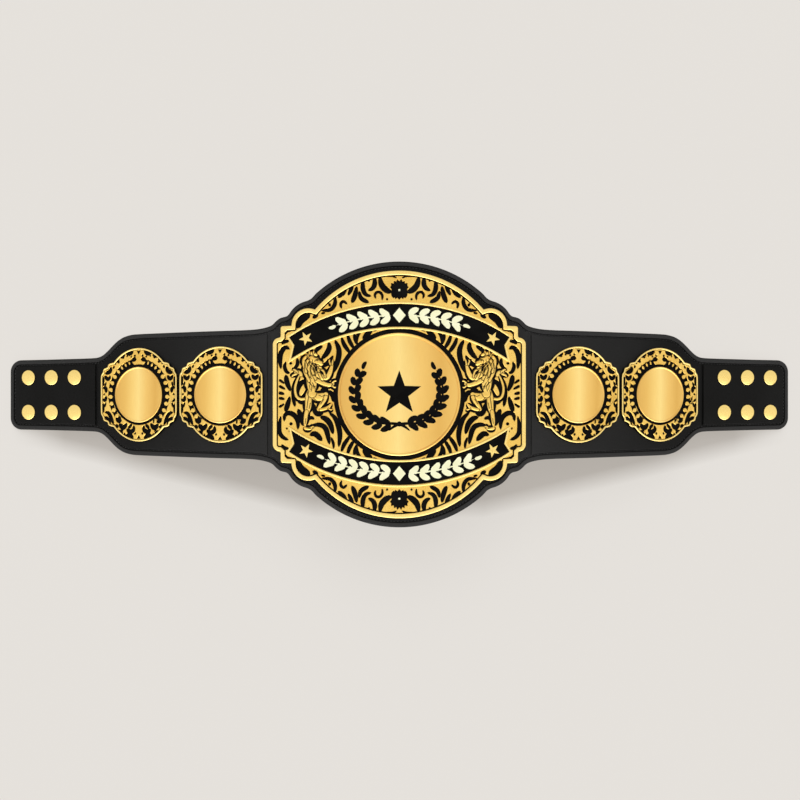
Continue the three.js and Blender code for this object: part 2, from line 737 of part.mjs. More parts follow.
function makeBanners() {
  const flipped = (loop, side) => loop.map((p) => new THREE.Vector2(p.x, p.y * side));
  const star = starLoop();
  const sag = bannerRadius - Math.sqrt(bannerRadius ** 2 - starOffset ** 2);
  const lean = Math.asin(starOffset / bannerRadius);
  for (const [name, side] of [["top", 1], ["bottom", -1]]) {
    const whole = flipped(bannerLoop(bannerEdge), side);
    const field = flipped(bannerLoop(0), side);
    const opening = flipped(bannerLoop(-fitGap), side);
    const frame = pierce(
      slab(whole, bannerLevel, bannerThickness),
      [field],
      bannerLevel,
      bannerThickness,
    );
    addPiece(name + "_banner_frame", "gold", frame);
    addPiece(name + "_banner_field", "enamel", slab(opening, bannerLevel, fieldThickness));
    for (const end of [-1, 1]) {
      const centre = new THREE.Vector2(end * starOffset, side * (bannerOffset - sag));
      const turn = -end * side * lean;
      const placed = star.map((p) => p.clone().rotateAround(new THREE.Vector2(), turn).add(centre));
      const starName = [end < 0 ? "left" : "right", name, "star"].join("_");
      addPiece(starName, "gold", slab(placed, starLevel, starThickness));
    }
  }
}

function makeLions() {
  for (const [name, mirrorU] of [["left_lion", -1], ["right_lion", 1]]) {
    const limbs = lionStrokes.map((row) =>
      slab(
        strokeLoop(row, plateWidth / 2, plateHeight / 2, mirrorU, 1),
        reliefLevel,
        lionThickness,
      ),
    );
    addPiece(name, "gold", limbs.reduce((body, limb) => body.add(limb)));
  }
}

// Small plates

// One of the openings in the ring of marks round a small disc
function markLoop(index) {
  const pitch = (2 * Math.PI) / markCount;
  const from = (index + 0.18) * pitch;
  const to = (index + 0.82) * pitch;
  const outer = arc(0, 0, markOuter, from, to, 1);
  const inner = arc(0, 0, markInner, from, to, 1);
  return [...outer, ...inner.reverse()];
}

function makeSidePlate(name, centre) {
  const moved = (loop) => loop.map((p) => new THREE.Vector2(p.x + centre, p.y));
  const outline = sidePlateLoop();
  const rimInner = insetLoop(outline, sideRimWidth);
  const fieldOutline = insetLoop(outline, sideRimWidth + inlayGap);
  const rimThickness = reliefThickness + rimRise;
  const openingRadius = sideDiscRadius + sideDiscRing;
  const cut = [circleLoop(openingRadius, sideDiscSides)];
  for (let i = 0; i < markCount; i += 1) cut.push(markLoop(i));
  for (const mirrorU of [-1, 1]) {
    for (const mirrorV of [-1, 1]) {
      for (const row of sideStrokes) {
        cut.push(strokeLoop(row, sideWidth / 2, sideHeight / 2, mirrorU, mirrorV));
      }
    }
  }
  const rim = slab(moved(outline), sideReliefLevel, rimThickness);
  const sheet = slab(moved(fieldOutline), sideReliefLevel, reliefThickness);
  addPiece(name + "_plate", "enamel", slab(moved(outline), plateLevel, sideThickness));
  addPiece(name + "_rim", "gold", pierce(rim, [moved(rimInner)], sideReliefLevel, rimThickness));
  addPiece(
    name + "_scrollwork",
    "gold",
    pierce(sheet, cut.map(moved), sideReliefLevel, reliefThickness),
  );
  const face = disc(sideDiscRadius, sideReliefLevel, discThickness, discBorder / 2, sideDiscSides);
  addPiece(name + "_disc", "brushedGold", toSolid(face.translate(centre, 0, 0)));
}

makeLeather();
makeSnaps();
makeMainPlate();
makeBanners();
makeLions();
for (const [side, sign] of [["left", -1], ["right", 1]]) {
  makeSidePlate(side + "_inner", sign * sideCentres[0]);
  makeSidePlate(side + "_outer", sign * sideCentres[1]);
}

// The belt stands on the ground on its two ends
belt.position.z = -new THREE.Box3().setFromObject(belt).min.z;
belt.updateMatrixWorld(true);

export default belt;
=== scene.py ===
import math

import bmesh
import bpy
import numpy as np
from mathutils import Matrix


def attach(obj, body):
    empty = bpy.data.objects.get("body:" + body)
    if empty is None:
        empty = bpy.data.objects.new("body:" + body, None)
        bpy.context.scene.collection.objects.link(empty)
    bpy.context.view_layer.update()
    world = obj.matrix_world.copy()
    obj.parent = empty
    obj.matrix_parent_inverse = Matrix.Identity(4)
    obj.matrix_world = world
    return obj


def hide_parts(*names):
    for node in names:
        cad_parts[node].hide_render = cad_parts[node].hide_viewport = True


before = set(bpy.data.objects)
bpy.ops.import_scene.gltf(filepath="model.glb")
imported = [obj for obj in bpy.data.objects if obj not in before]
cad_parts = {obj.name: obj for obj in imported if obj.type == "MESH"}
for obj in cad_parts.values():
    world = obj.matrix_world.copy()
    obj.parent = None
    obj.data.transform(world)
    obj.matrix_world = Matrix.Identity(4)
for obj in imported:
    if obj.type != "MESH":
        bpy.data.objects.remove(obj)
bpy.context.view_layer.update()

# A title belt that lies face up, arched on its two ends. Flat pieces are made in millimetres:
# u along the belt, v across it, h above the back of the strap. layOnBelt() then bends each one
# over the belt's curve and brings it to metres.

levels = {
    "groove": 3.0,  # face of the strap
    "panel": 3.3,
    "panelTop": 4.8,
    "plate": 5.1,
    "relief": 7.6,
    "reliefTop": 8.7,
    "banner": 9.0,
    "field": 9.6,
    "star": 9.9,
    "sideRelief": 7.2,
    "sideTop": 8.3,
    "neutral": 7.3,  # lengths along the belt are true here
}

arch = {
    "halfLength": 446.25,
    "stretches": (0.426, 0.213, 0.135, 0.226),  # shares of the half length
    "turns": (18.0, 4.6, -7.3, 0.0),  # degrees that each stretch bends down
    "cutPitch": 4.5,  # how often a wide face is cut so that it can bend
}


def beltLine():
    along = np.linspace(0, arch["halfLength"] + 5, 9001)
    knots = np.concatenate([[0], np.cumsum(arch["stretches"])]) * arch["halfLength"]
    turned = np.concatenate([[0], np.cumsum(arch["turns"])])
    angle = np.radians(np.interp(along, knots, turned))
    gap = along[1] - along[0]
    middle = (angle[1:] + angle[:-1]) / 2
    x = np.concatenate([[0], np.cumsum(np.cos(middle) * gap)])
    z = np.concatenate([[0], -np.cumsum(np.sin(middle) * gap)])
    return along, angle, x, z


lineAlong, lineAngle, lineX, lineZ = beltLine()
endAngle = np.interp(arch["halfLength"], lineAlong, lineAngle)
endDrop = np.interp(arch["halfLength"], lineAlong, lineZ)
centreHeight = levels["neutral"] * math.cos(endAngle) - endDrop  # the strap's ends touch the floor


def deselect():
    if bpy.context.object and bpy.context.object.mode != "OBJECT":
        bpy.ops.object.mode_set(mode="OBJECT")
    bpy.ops.object.select_all(action="DESELECT")


def activate(piece):
    deselect()
    piece.select_set(True)
    bpy.context.view_layer.objects.active = piece


def coordsOf(piece):
    coords = np.empty(len(piece.data.vertices) * 3)
    piece.data.vertices.foreach_get("co", coords)
    return coords.reshape(-1, 3)


def setCoords(piece, coords):
    piece.data.vertices.foreach_set("co", np.ascontiguousarray(coords, dtype=float).ravel())
    piece.data.update()


def layOnBelt(piece, centre=0.0, cut=True, smooth=32, finish=None, replaces=()):
    coords = coordsOf(piece)
    place = piece.data.attributes.new("flatPlace", "FLOAT_VECTOR", "POINT")
    place.data.foreach_set("vector", coords.astype(np.float32).ravel())
    low, high = coords[:, 0].min(), coords[:, 0].max()
    activate(piece)
    if cut:
        bpy.ops.object.mode_set(mode="EDIT")
        pitch = arch["cutPitch"]
        for k in range(math.ceil((low + 0.3) / pitch), math.floor((high - 0.3) / pitch) + 1):
            if abs(k * pitch + centre) < 350:
                bpy.ops.mesh.select_all(action="SELECT")
                bpy.ops.mesh.bisect(plane_co=(k * pitch, 0, 0), plane_no=(1, 0, 0))
        bpy.ops.object.mode_set(mode="OBJECT")
    coords = coordsOf(piece)
    along = np.abs(coords[:, 0] + centre)
    side = np.where(coords[:, 0] + centre < 0, -1, 1)
    above = coords[:, 2] - levels["neutral"]
    angle = np.interp(along, lineAlong, lineAngle)
    x = side * (np.interp(along, lineAlong, lineX) + above * np.sin(angle))
    z = centreHeight + np.interp(along, lineAlong, lineZ) + above * np.cos(angle)
    setCoords(piece, np.column_stack([x, coords[:, 1], z]) / 1000)
    if smooth:
        bpy.ops.object.shade_smooth_by_angle(angle=math.radians(smooth))
    dress(piece, finish, replaces)
    return piece


def dress(piece, finish, replaces=()):
    if replaces:
        piece.name = piece.data.name = replaces[0] + "_look"
    piece.data.materials.clear()
    piece.data.materials.append(finish)
    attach(piece, "root")
    if replaces:
        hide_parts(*replaces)


# Outlines: arrays of (u, v) points, anticlockwise


def arcOf(centreU, centreV, radius, start, end, steps):
    turn = np.radians(np.linspace(start, end, steps + 1))
    return np.column_stack([centreU + radius * np.cos(turn), centreV + radius * np.sin(turn)])


def circleOf(radius, sides, centre=(0, 0)):
    return arcOf(centre[0], centre[1], radius, 0, 360 - 360 / sides, sides - 1)


def smoothPath(points, steps):
    # an even walk along a soft curve through the points
    p = np.array(points, dtype=float)
    if len(p) == 2:
        return p[0] + (p[1] - p[0]) * np.linspace(0, 1, steps + 1)[:, None]
    p = np.vstack([2 * p[0] - p[1], p, 2 * p[-1] - p[-2]])
    fine = []
    for a, b, c, d in zip(p, p[1:], p[2:], p[3:]):
        t = np.linspace(0, 1, 13)[:-1, None]
        fine.append(
            0.5 * (2 * b + (c - a) * t + (2 * a - 5 * b + 4 * c - d) * t**2
                   + (3 * b - a - 3 * c + d) * t**3)
        )
    fine = np.vstack([*fine, p[-2]])
    return evenly(fine, steps)


def evenly(points, steps):
    run = np.concatenate([[0], np.cumsum(np.linalg.norm(np.diff(points, axis=0), axis=1))])
    want = np.linspace(0, run[-1], steps + 1)
    return np.column_stack([np.interp(want, run, points[:, 0]), np.interp(want, run, points[:, 1])])


def anticlockwise(points):
    points = np.array(points, dtype=float)
    after = np.roll(points, -1, 0)
    area = np.sum(points[:, 0] * after[:, 1] - after[:, 0] * points[:, 1])
    return points if area > 0 else points[::-1]


def fourfold(quarter):
    # a quarter from the top centre to the right centre, mirrored into a whole outline
    quarter = np.array(quarter, dtype=float)
    right = np.vstack([quarter, (quarter * (1, -1))[::-1]])
    whole = np.vstack([right, (right * (-1, 1))[::-1]])
    keep = np.linalg.norm(whole - np.roll(whole, -1, 0), axis=1) > 0.02
    return anticlockwise(whole[keep])


def distanceTo(points, outline, closed=True):
    start = outline if closed else outline[:-1]
    end = np.roll(outline, -1, 0) if closed else outline[1:]
    way = end - start
    best = np.full(len(points), 1e9)
    for s, w in zip(start, way):
        t = np.clip(((points - s) @ w) / max(w @ w, 1e-12), 0, 1)
        best = np.minimum(best, np.linalg.norm(points - s - t[:, None] * w, axis=1))
    return best


def inset(outline, distance):
    # drawn in by a distance with as many points; those past a narrow corner gather in it
    before = outline - np.roll(outline, 1, 0)
    after = np.roll(outline, -1, 0) - outline
    before /= np.linalg.norm(before, axis=1)[:, None]
    after /= np.linalg.norm(after, axis=1)[:, None]
    inward = np.column_stack([-(before + after)[:, 1], (before + after)[:, 0]])
    inward /= np.linalg.norm(inward, axis=1)[:, None]
    lean = np.clip(-inward[:, 0] * before[:, 1] + inward[:, 1] * before[:, 0], 0.35, 1)
    inner = outline + inward * (distance / lean)[:, None]
    good = distanceTo(inner, outline) > abs(distance) - 0.03
    if good.all() or not good.any():
        return inner
    count = len(inner)
    places = np.flatnonzero(good)
    moved = inner.copy()
    for i in np.flatnonzero(~good):
        last = places[places < i].max() if (places < i).any() else places.max()
        coming = places[places > i].min() if (places > i).any() else places.min()
        moved[i] = (inner[last % count] + inner[coming % count]) / 2
    return moved


def strokeOf(width, belly, points, mirror=(1, 1), steps=9, grow=0.0):
    # a tapered stroke: its half width swells to the belly and runs out at both ends
    path = smoothPath(points, steps) * mirror
    way = np.gradient(path, axis=0)
    way /= np.linalg.norm(way, axis=1)[:, None]
    across = np.column_stack([-way[:, 1], way[:, 0]])
    t = np.linspace(0, 1, steps + 1)
    swell = np.where(t < belly, t / max(belly, 1e-6), (1 - t) / max(1 - belly, 1e-6))
    half = width / 2 * np.sqrt(np.clip(swell * (2 - swell), 0, 1)) + grow
    first, last = path[0] - way[0] * grow, path[-1] + way[-1] * grow
    left = path[1:-1] + across[1:-1] * half[1:-1, None]
    right = path[1:-1] - across[1:-1] * half[1:-1, None]
    return anticlockwise(np.vstack([first, left, last, right[::-1]]))


# Solids


def startFrom(name, outline, height):
    # a filled circle with one corner for each point, pulled to the outline
    deselect()
    bpy.ops.mesh.primitive_circle_add(vertices=len(outline), radius=1, fill_type="NGON")
    piece = bpy.context.object
    piece.name = piece.data.name = name
    setCoords(piece, np.column_stack([outline, np.full(len(outline), height)]))
    bpy.ops.object.mode_set(mode="EDIT")
    bpy.ops.mesh.select_all(action="SELECT")
    return piece


def closeUp(piece):
    bpy.ops.mesh.select_all(action="SELECT")
    bpy.ops.mesh.normals_make_consistent(inside=False)
    bpy.ops.object.mode_set(mode="OBJECT")
    return piece


def slab(name, outline, low, high, edge=0.0, steps=2):
    piece = startFrom(name, outline, low)
    bpy.ops.mesh.extrude_region_move(TRANSFORM_OT_translate={"value": (0, 0, high - low)})
    if edge:
        bpy.ops.mesh.bevel(offset=edge, segments=steps, affect="EDGES")
    return closeUp(piece)


def stack(name, rows):
    # rows of (outline, height) from below: each is drawn out of the one before
    piece = startFrom(name, *rows[0])
    for (before, low), (outline, high) in zip(rows, rows[1:]):
        bpy.ops.mesh.extrude_region_move(TRANSFORM_OT_translate={"value": (0, 0, high - low)})
        shape = bmesh.from_edit_mesh(piece.data)
        for corner in shape.verts:
            if corner.select:
                near = np.argmin(np.hypot(before[:, 0] - corner.co.x, before[:, 1] - corner.co.y))
                corner.co.x, corner.co.y = outline[near]
        bmesh.update_edit_mesh(piece.data)
    return closeUp(piece)


def ring(name, outline, profile):
    # a grid rolled into a closed bar: its rows are pulled to the profile, (how far in, height)
    deselect()
    bpy.ops.mesh.primitive_grid_add(x_subdivisions=len(outline), y_subdivisions=len(profile))
    piece = bpy.context.object
    piece.name = piece.data.name = name
    rows = []
    for distance, height in [*profile, profile[0]]:
        row = inset(outline, distance) if distance else outline
        rows.append(np.column_stack([row, np.full(len(row), height)])[[*range(len(row)), 0]])
    setCoords(piece, np.vstack(rows))
    bpy.ops.object.mode_set(mode="EDIT")
    bpy.ops.mesh.select_all(action="SELECT")
    bpy.ops.mesh.remove_doubles(threshold=0.01)
    return closeUp(piece)


def roundedBar(width, low, high, radius):
    # section of a bar with two rounded upper edges
    edge = [(radius * (1 - math.cos(a)), high - radius * (1 - math.sin(a)))
            for a in np.radians((0, 30, 60, 90))]
    return [(0, low), *edge, *[(width - d, h) for d, h in reversed(edge)], (width, low)]


def lathe(name, profile, sides):
    # rows of (radius, height) from below
    return stack(name, [(circleOf(r, sides), h) for r, h in profile])


def chamferCutter(outline, grown, low, top, depth=0.25):
    return stack("cutter", [(outline, low - 1), (outline, top - depth), (grown, top + 0.05)])


def carve(piece, cutter):
    activate(piece)
    modifier = piece.modifiers.new("carve", "BOOLEAN")
    modifier.operation = "DIFFERENCE"
    modifier.solver = "MANIFOLD"
    modifier.object = cutter
    bpy.ops.object.modifier_apply(modifier=modifier.name)
    bpy.data.objects.remove(cutter)


def joined(name, pieces):
    deselect()
    for piece in pieces:
        piece.select_set(True)
    bpy.context.view_layer.objects.active = pieces[0]
    bpy.ops.object.join()
    whole = bpy.context.object
    whole.name = whole.data.name = name
    return whole


def copyOf(piece, name):
    twin = piece.copy()
    twin.data = piece.data.copy()
    twin.name = twin.data.name = name
    bpy.context.collection.objects.link(twin)
    return twin


def scattered(name, original, places):
    # copies of one small mesh, joined: each place is (u, v, h, turn)
    coords = coordsOf(original)
    faces = [tuple(face.vertices) for face in original.data.polygons]
    allCoords, allFaces = [], []
    for k, (u, v, h, turn) in enumerate(places):
        c, s = math.cos(turn), math.sin(turn)
        x = coords[:, 0] * c - coords[:, 1] * s + u
        y = coords[:, 0] * s + coords[:, 1] * c + v
        allCoords.append(np.column_stack([x, y, coords[:, 2] + h]))
        allFaces += [tuple(i + k * len(coords) for i in face) for face in faces]
    mesh = bpy.data.meshes.new(name)
    mesh.from_pydata(np.vstack(allCoords).tolist(), [], allFaces)
    whole = bpy.data.objects.new(name, mesh)
    bpy.context.collection.objects.link(whole)
    bpy.data.objects.remove(original)
    return whole


# Materials


class Wire:
    # one output socket, so that masks are written as plain sums
    def __init__(self, finish, socket):
        self.finish, self.socket = finish, socket

    def sum(self, operation, a, b):
        return self.finish.add("ShaderNodeMath", {"operation": operation}, {0: a, 1: b})

    def __add__(self, other):
        return self.sum("ADD", self, other)

    def __radd__(self, other):
        return self.sum("ADD", other, self)

    def __sub__(self, other):
        return self.sum("SUBTRACT", self, other)

    def __rsub__(self, other):
        return self.sum("SUBTRACT", other, self)

    def __mul__(self, other):
        return self.sum("MULTIPLY", self, other)

    def __rmul__(self, other):
        return self.sum("MULTIPLY", other, self)


class Finish:
    def __init__(self, name, tree=None):
        if tree is None:
            self.material = bpy.data.materials.new(name)
            self.material.use_nodes = True
            tree = self.material.node_tree
            self.shader = tree.nodes["Principled BSDF"]
        self.tree = tree

    def add(self, kind, settings=None, inputs=None, output=0):
        node = self.tree.nodes.new(kind)
        for key, value in (settings or {}).items():
            if key == "stops":
                ramp = node.color_ramp
                while len(ramp.elements) < len(value):
                    ramp.elements.new(0.5)
                for stop, (position, color) in zip(ramp.elements, value):
                    stop.position = position
                    stop.color = (*color, 1) if len(color) == 3 else color
            else:
                setattr(node, key, value)
        for key, value in (inputs or {}).items():
            self.plug(node.inputs[key], value)
        return Wire(self, node.outputs[output])

    def plug(self, socket, value):
        if isinstance(value, Wire):
            self.tree.links.new(value.socket, socket)
        elif hasattr(socket.default_value, "__len__") and len(value) == 3 and socket.type == "RGBA":
            socket.default_value = (*value, 1)
        else:
            socket.default_value = value

    def set(self, **values):
        for key, value in values.items():
            self.plug(self.shader.inputs[labels[key]], value)

    def place(self, scale=(1, 1, 1)):
        coords = self.add("ShaderNodeTexCoord", output="Object")
        return self.add("ShaderNodeMapping", inputs={"Vector": coords, "Scale": scale})

    def flat(self, scale=(1, 1, 1), move=(0, 0, 0)):
        # the piece's own flat millimetres
        coords = self.add("ShaderNodeAttribute", {"attribute_name": "flatPlace"}, output="Vector")
        return self.add(
            "ShaderNodeMapping", inputs={"Vector": coords, "Scale": scale, "Location": move}
        )

    def noise(self, vector, scale, detail=3, rough=0.5):
        return self.add(
            "ShaderNodeTexNoise",
            inputs={"Vector": vector, "Scale": scale, "Detail": detail, "Roughness": rough},
        )

    def spread(self, value, low, high, newLow=0.0, newHigh=1.0):
        return self.add(
            "ShaderNodeMapRange",
            inputs={0: value, 1: low, 2: high, 3: newLow, 4: newHigh},
        )

    def blend(self, mask, dark, light, kind="MIX"):
        node = self.tree.nodes.new("ShaderNodeMix")
        node.data_type = "RGBA"
        node.blend_type = kind
        self.plug(node.inputs["Factor"], mask)
        sockets = [s for s in node.inputs if s.type == "RGBA"]
        self.plug(sockets[0], dark)
        self.plug(sockets[1], light)
        return Wire(self, next(s for s in node.outputs if s.type == "RGBA"))

    def bump(self, height, strength, distance, normal=None):
        inputs = {"Height": height, "Strength": strength, "Distance": distance}
        if normal:
            inputs["Normal"] = normal
        return self.add("ShaderNodeBump", inputs=inputs)


labels = {
    "color": "Base Color",
    "roughness": "Roughness",
    "metallic": "Metallic",
    "normal": "Normal",
    "specular": "Specular IOR Level",
    "coat": "Coat Weight",
    "coatRoughness": "Coat Roughness",
    "glow": "Emission Color",
    "glowStrength": "Emission Strength",
}

goldLook = {
    "deep": (0.60, 0.34, 0.07),
    "mid": (0.80, 0.505, 0.105),
    "bright": (0.93, 0.64, 0.17),
    "pale": (0.95, 0.72, 0.25),
    "dark": (0.012, 0.008, 0.004),
}


def polishedGold(name, light=0.0, engraved=False, bright="bright"):
    gold = Finish(name)
    place = gold.place()
    patches = gold.noise(place, 45, 2)
    fine = gold.noise(place, 900, 3)
    tone = gold.spread(patches * 0.75 + fine * 0.25, 0.34 - light, 0.66 - light)
    color = gold.blend(tone, goldLook["mid"], goldLook[bright])
    rough = gold.spread(fine, 0.3, 0.7, 0.24, 0.38)
    metal = 1.0
    if engraved:
        line = gold.add("ShaderNodeAttribute", {"attribute_name": "engraved"}, output="Fac")
        color = gold.blend(line, color, goldLook["dark"])
        rough = rough + line * 0.25
    gold.set(color=color, metallic=metal, roughness=rough)
    gold.set(normal=gold.bump(gold.noise(place, 1400, 4), 0.05, 0.0002))
    return gold.material


def brushedGold(name, radius):
    gold = Finish(name)
    across = gold.flat((1 / radius, 1 / radius, 1 / radius))
    parts = gold.add("ShaderNodeSeparateXYZ", inputs={0: across}, output="X")
    wander = gold.noise(gold.flat((0.03, 0.012, 0.03)), 1.0, 2)
    # painted reflection: vertical bands of brighter and darker gold across the disc; the streaks below are the
    # brushed finish
    paintedReflectionBands = gold.add(
        "ShaderNodeValToRGB",
        {
            "stops": [
                (0.0, (0.74, 0.45, 0.12)),
                (0.2, (0.84, 0.54, 0.15)),
                (0.38, (0.97, 0.70, 0.235)),
                (0.5, (1.0, 0.78, 0.30)),
                (0.66, (0.90, 0.60, 0.185)),
                (0.84, (0.76, 0.46, 0.12)),
                (1.0, (0.84, 0.55, 0.16)),
            ]
        },
        {0: parts * 0.5 + 0.44 + wander * 0.12},
    )
    streaks = gold.noise(gold.flat((6.0, 0.10, 1.0)), 1.0, 4, 0.65)
    color = gold.blend(gold.spread(streaks, 0.3, 0.7, 0, 0.22), paintedReflectionBands, goldLook["deep"])
    gold.set(color=color, metallic=1.0, roughness=gold.spread(streaks, 0.3, 0.7, 0.30, 0.42))
    gold.set(normal=gold.bump(streaks, 0.10, 0.0003))
    return gold.material


def blackLeather(name, tone=0.0035, shine=0.1, pale=0.027, crestHighlight=0.0):
    leather = Finish(name)
    place = leather.place()
    grain = leather.add(
        "ShaderNodeTexVoronoi",
        {"feature": "SMOOTH_F1"},
        {"Vector": place, "Scale": 950, "Smoothness": 0.6},
        "Distance",
    )
    fine = leather.noise(place, 2600, 3)
    broad = leather.noise(place, 14, 3)
    if crestHighlight:
        # painted highlight: a rolled edge is paler along its top
        height = leather.add("ShaderNodeSeparateXYZ", inputs={0: leather.flat()}, output="Z")
        paintedSheen = leather.spread(height, 3.95, 4.35, 0, crestHighlight)
    else:
        # painted sheen: the leather is paler beside the main plate
        metres = leather.flat((0.001, 0.001, 0.001))
        along = leather.add("ShaderNodeSeparateXYZ", inputs={0: metres}, output="X")
        far = leather.add("ShaderNodeMath", {"operation": "ABSOLUTE"}, {0: along})
        paintedSheen = leather.spread(far, 0.30, 0.14, 0, 0.75) * leather.spread(far, 0.09, 0.135, 0, 1)
    # random tone of the leather plus the painted sheen above
    toneAndSheen = leather.spread(broad, 0.35, 0.7, 0, 0.12) + paintedSheen
    color = leather.blend(toneAndSheen, (tone * 0.75, tone * 0.75, tone * 0.72), (pale,) * 3)
    rough = leather.spread(broad * 0.6 + grain * 0.6, 0.3, 0.8, 0.36, 0.52)
    leather.set(color=color, roughness=rough, specular=shine)
    pores = leather.bump(grain, 0.32, 0.0004)
    leather.set(normal=leather.bump(fine, 0.15, 0.0002, pores))
    return leather.material


def blackEnamel(name):
    enamel = Finish(name)
    place = enamel.place()
    cloud = enamel.noise(place, 60, 3)
    color = enamel.blend(enamel.spread(cloud, 0.35, 0.7), (0.0022, 0.002, 0.002), (0.005, 0.0048, 0.0045))
    enamel.set(color=color, roughness=enamel.spread(cloud, 0.3, 0.7, 0.22, 0.34), specular=0.04)
    enamel.set(normal=enamel.bump(enamel.noise(place, 500, 3), 0.06, 0.0003))
    return enamel.material


def creamEnamel(name):
    cream = Finish(name)
    place = cream.place()
    cloud = cream.noise(place, 120, 3)
    color = cream.blend(cream.spread(cloud, 0.35, 0.7), (0.93, 0.92, 0.60), (0.98, 0.98, 0.70))
    cream.set(color=color, roughness=cream.spread(cloud, 0.3, 0.7, 0.35, 0.5), specular=0.4)
    cream.set(normal=cream.bump(cloud, 0.05, 0.0004))
    return cream.material


def blackThread(name):
    thread = Finish(name)
    place = thread.place()
    twist = thread.add(
        "ShaderNodeTexWave", {"bands_direction": "DIAGONAL"}, {"Vector": place, "Scale": 900}, "Fac"
    )
    color = thread.blend(twist, (0.006, 0.006, 0.006), (0.035, 0.035, 0.036))
    thread.set(color=color, roughness=thread.spread(twist, 0, 1, 0.5, 0.7))
    thread.set(normal=thread.bump(twist, 0.4, 0.0002))
    return thread.material


gold = polishedGold("polishedGold")
rimGold = polishedGold("rimGold", light=0.2, bright="pale")
lionGold = polishedGold("lionGold", light=0.04, engraved=True)
discGold = brushedGold("brushedGoldLarge", 62)
sideDiscGold = brushedGold("brushedGoldSmall", 30)
leather = blackLeather("blackLeather")
# its last value is the strength of the painted highlight along the rim's top
rimLeather = blackLeather("rimLeather", 0.0026, 0.12, 0.03, 0.85)
enamel = blackEnamel("blackEnamel")
cream = creamEnamel("creamEnamel")
thread = blackThread("blackThread")
print("finishes ready")

# Strap

strapShape = {
    "crown": (2.9, 131.0),  # centre v and radius of the arc over the main plate
    "shoulder": [
        (86.3, 101.3), (90.2, 97.3), (94.4, 95.1), (98.5, 93.9), (102.8, 92.1), (107, 89.4),
        (111, 85.6), (113.9, 81.6), (116.6, 79.5), (120, 78.7), (124, 77.4), (128, 74.4),
        (131.6, 71.1), (136.5, 69.0), (145, 67.2), (154, 66.4), (165, 66.0),
    ],
    "waist": [(200, 65.7), (245, 65.1), (283, 64.6)],
    "neck": [
        (290, 64.4), (296, 64.1), (302, 63.1), (308, 61.3), (314, 58.0), (320, 53.2),
        (326, 47.7), (332, 43.0), (338, 40.4), (345, 39.6), (358, 39.2),
    ],
    "tab": [(402, 38.5)],
    "corner": 13.0,
    "tabHalf": 38.2,
    "thickness": 3.0,
    "edge": 1.1,
}


def strapOutline():
    crownV, radius = strapShape["crown"]
    first = strapShape["shoulder"][0]
    stop = math.degrees(math.atan2(first[1] - crownV, first[0]))
    half, tabHalf, corner = arch["halfLength"], strapShape["tabHalf"], strapShape["corner"]
    return fourfold(
        np.vstack([
            arcOf(0, crownV, radius, 90, stop + 0.7, 46),
            smoothPath(strapShape["shoulder"], 50),
            strapShape["waist"],
            smoothPath(strapShape["neck"], 40),
            strapShape["tab"],
            arcOf(half - corner, tabHalf - corner, corner, 90, 0, 12),
            [(half, 0)],
        ])
    )


def densified(outline, gap):
    # long straight runs get points of their own
    points = []
    for a, b in zip(outline, np.roll(outline, -1, 0)):
        count = max(1, math.ceil(np.linalg.norm(b - a) / gap))
        points += [a + (b - a) * k / count for k in range(count)]
    return np.array(points)


outline = densified(strapOutline(), 6)
strap = slab("strap", outline, 0, strapShape["thickness"], strapShape["edge"], 3)
layOnBelt(strap, finish=leather, replaces=("strap",))

rimShape = {"inset": 0.35, "width": 5.0, "low": 2.7, "high": 4.35, "round": 1.5}
rolled = ring(
    "strap_rim",
    inset(outline, rimShape["inset"]),
    roundedBar(rimShape["width"], rimShape["low"], rimShape["high"], rimShape["round"]),
)
layOnBelt(rolled, cut=False, smooth=60, finish=rimLeather)
print("strap ready")

# Raised panels, cut apart at the seams

panelShape = {"inset": 7.0, "edge": 0.8, "steps": 3}
seams = {
    "center_panel": (-132.75, 132.75),
    "right_side_panel": (136.25, 337.0),
    "left_side_panel": (-337.0, -136.25),
    "right_tab_panel": (340.5, 450.0),
    "left_tab_panel": (-450.0, -340.5),
}
panelOutline = inset(outline, panelShape["inset"])


def clipped(points, low, high):
    # the part of an outline between two places along the belt
    for limit, side in ((low, 1), (high, -1)):
        kept = []
        for a, b in zip(points, np.roll(points, -1, 0)):
            insideA, insideB = side * (a[0] - limit) >= 0, side * (b[0] - limit) >= 0
            if insideA:
                kept.append(a)
            if insideA != insideB:
                share = (limit - a[0]) / (b[0] - a[0])
                kept.append(a + (b - a) * share)
        points = np.array(kept)
    apart = np.linalg.norm(points - np.roll(points, -1, 0), axis=1) > 0.3
    return points[apart]


for name, (low, high) in seams.items():
    shape = densified(clipped(panelOutline, low, high), 8)
    panel = slab(name, shape, levels["panel"], levels["panelTop"], panelShape["edge"], 3)
    layOnBelt(panel, finish=leather, replaces=(name,))
print("panels ready")

# Stitches: one thread capsule, set end to end along the groove and the back

stitchShape = {"inset": 6.1, "pitch": 3.5, "length": 2.5, "width": 0.75, "height": 0.5}


def stitchRow(name, line, level, flip=1):
    bpy.ops.object.select_all(action="DESELECT")
    bpy.ops.mesh.primitive_uv_sphere_add(segments=8, ring_count=5, radius=0.5)
    bpy.ops.object.mode_set(mode="EDIT")
    bpy.ops.mesh.select_all(action="SELECT")
    bpy.ops.transform.resize(
        value=(stitchShape["length"], stitchShape["width"], 2 * stitchShape["height"])
    )
    bpy.ops.object.mode_set(mode="OBJECT")
    stitch = bpy.context.object
    count = round(np.sum(np.linalg.norm(line - np.roll(line, -1, 0), axis=1)) / stitchShape["pitch"])
    path = evenly(np.vstack([line, line[:1]]), count)
    places = []
    for a, b in zip(path, path[1:]):
        way = b - a
        places.append((*((a + b) / 2), level, math.atan2(way[1], way[0])))
    row = scattered(name, stitch, places)
    layOnBelt(row, cut=False, smooth=60, finish=thread)


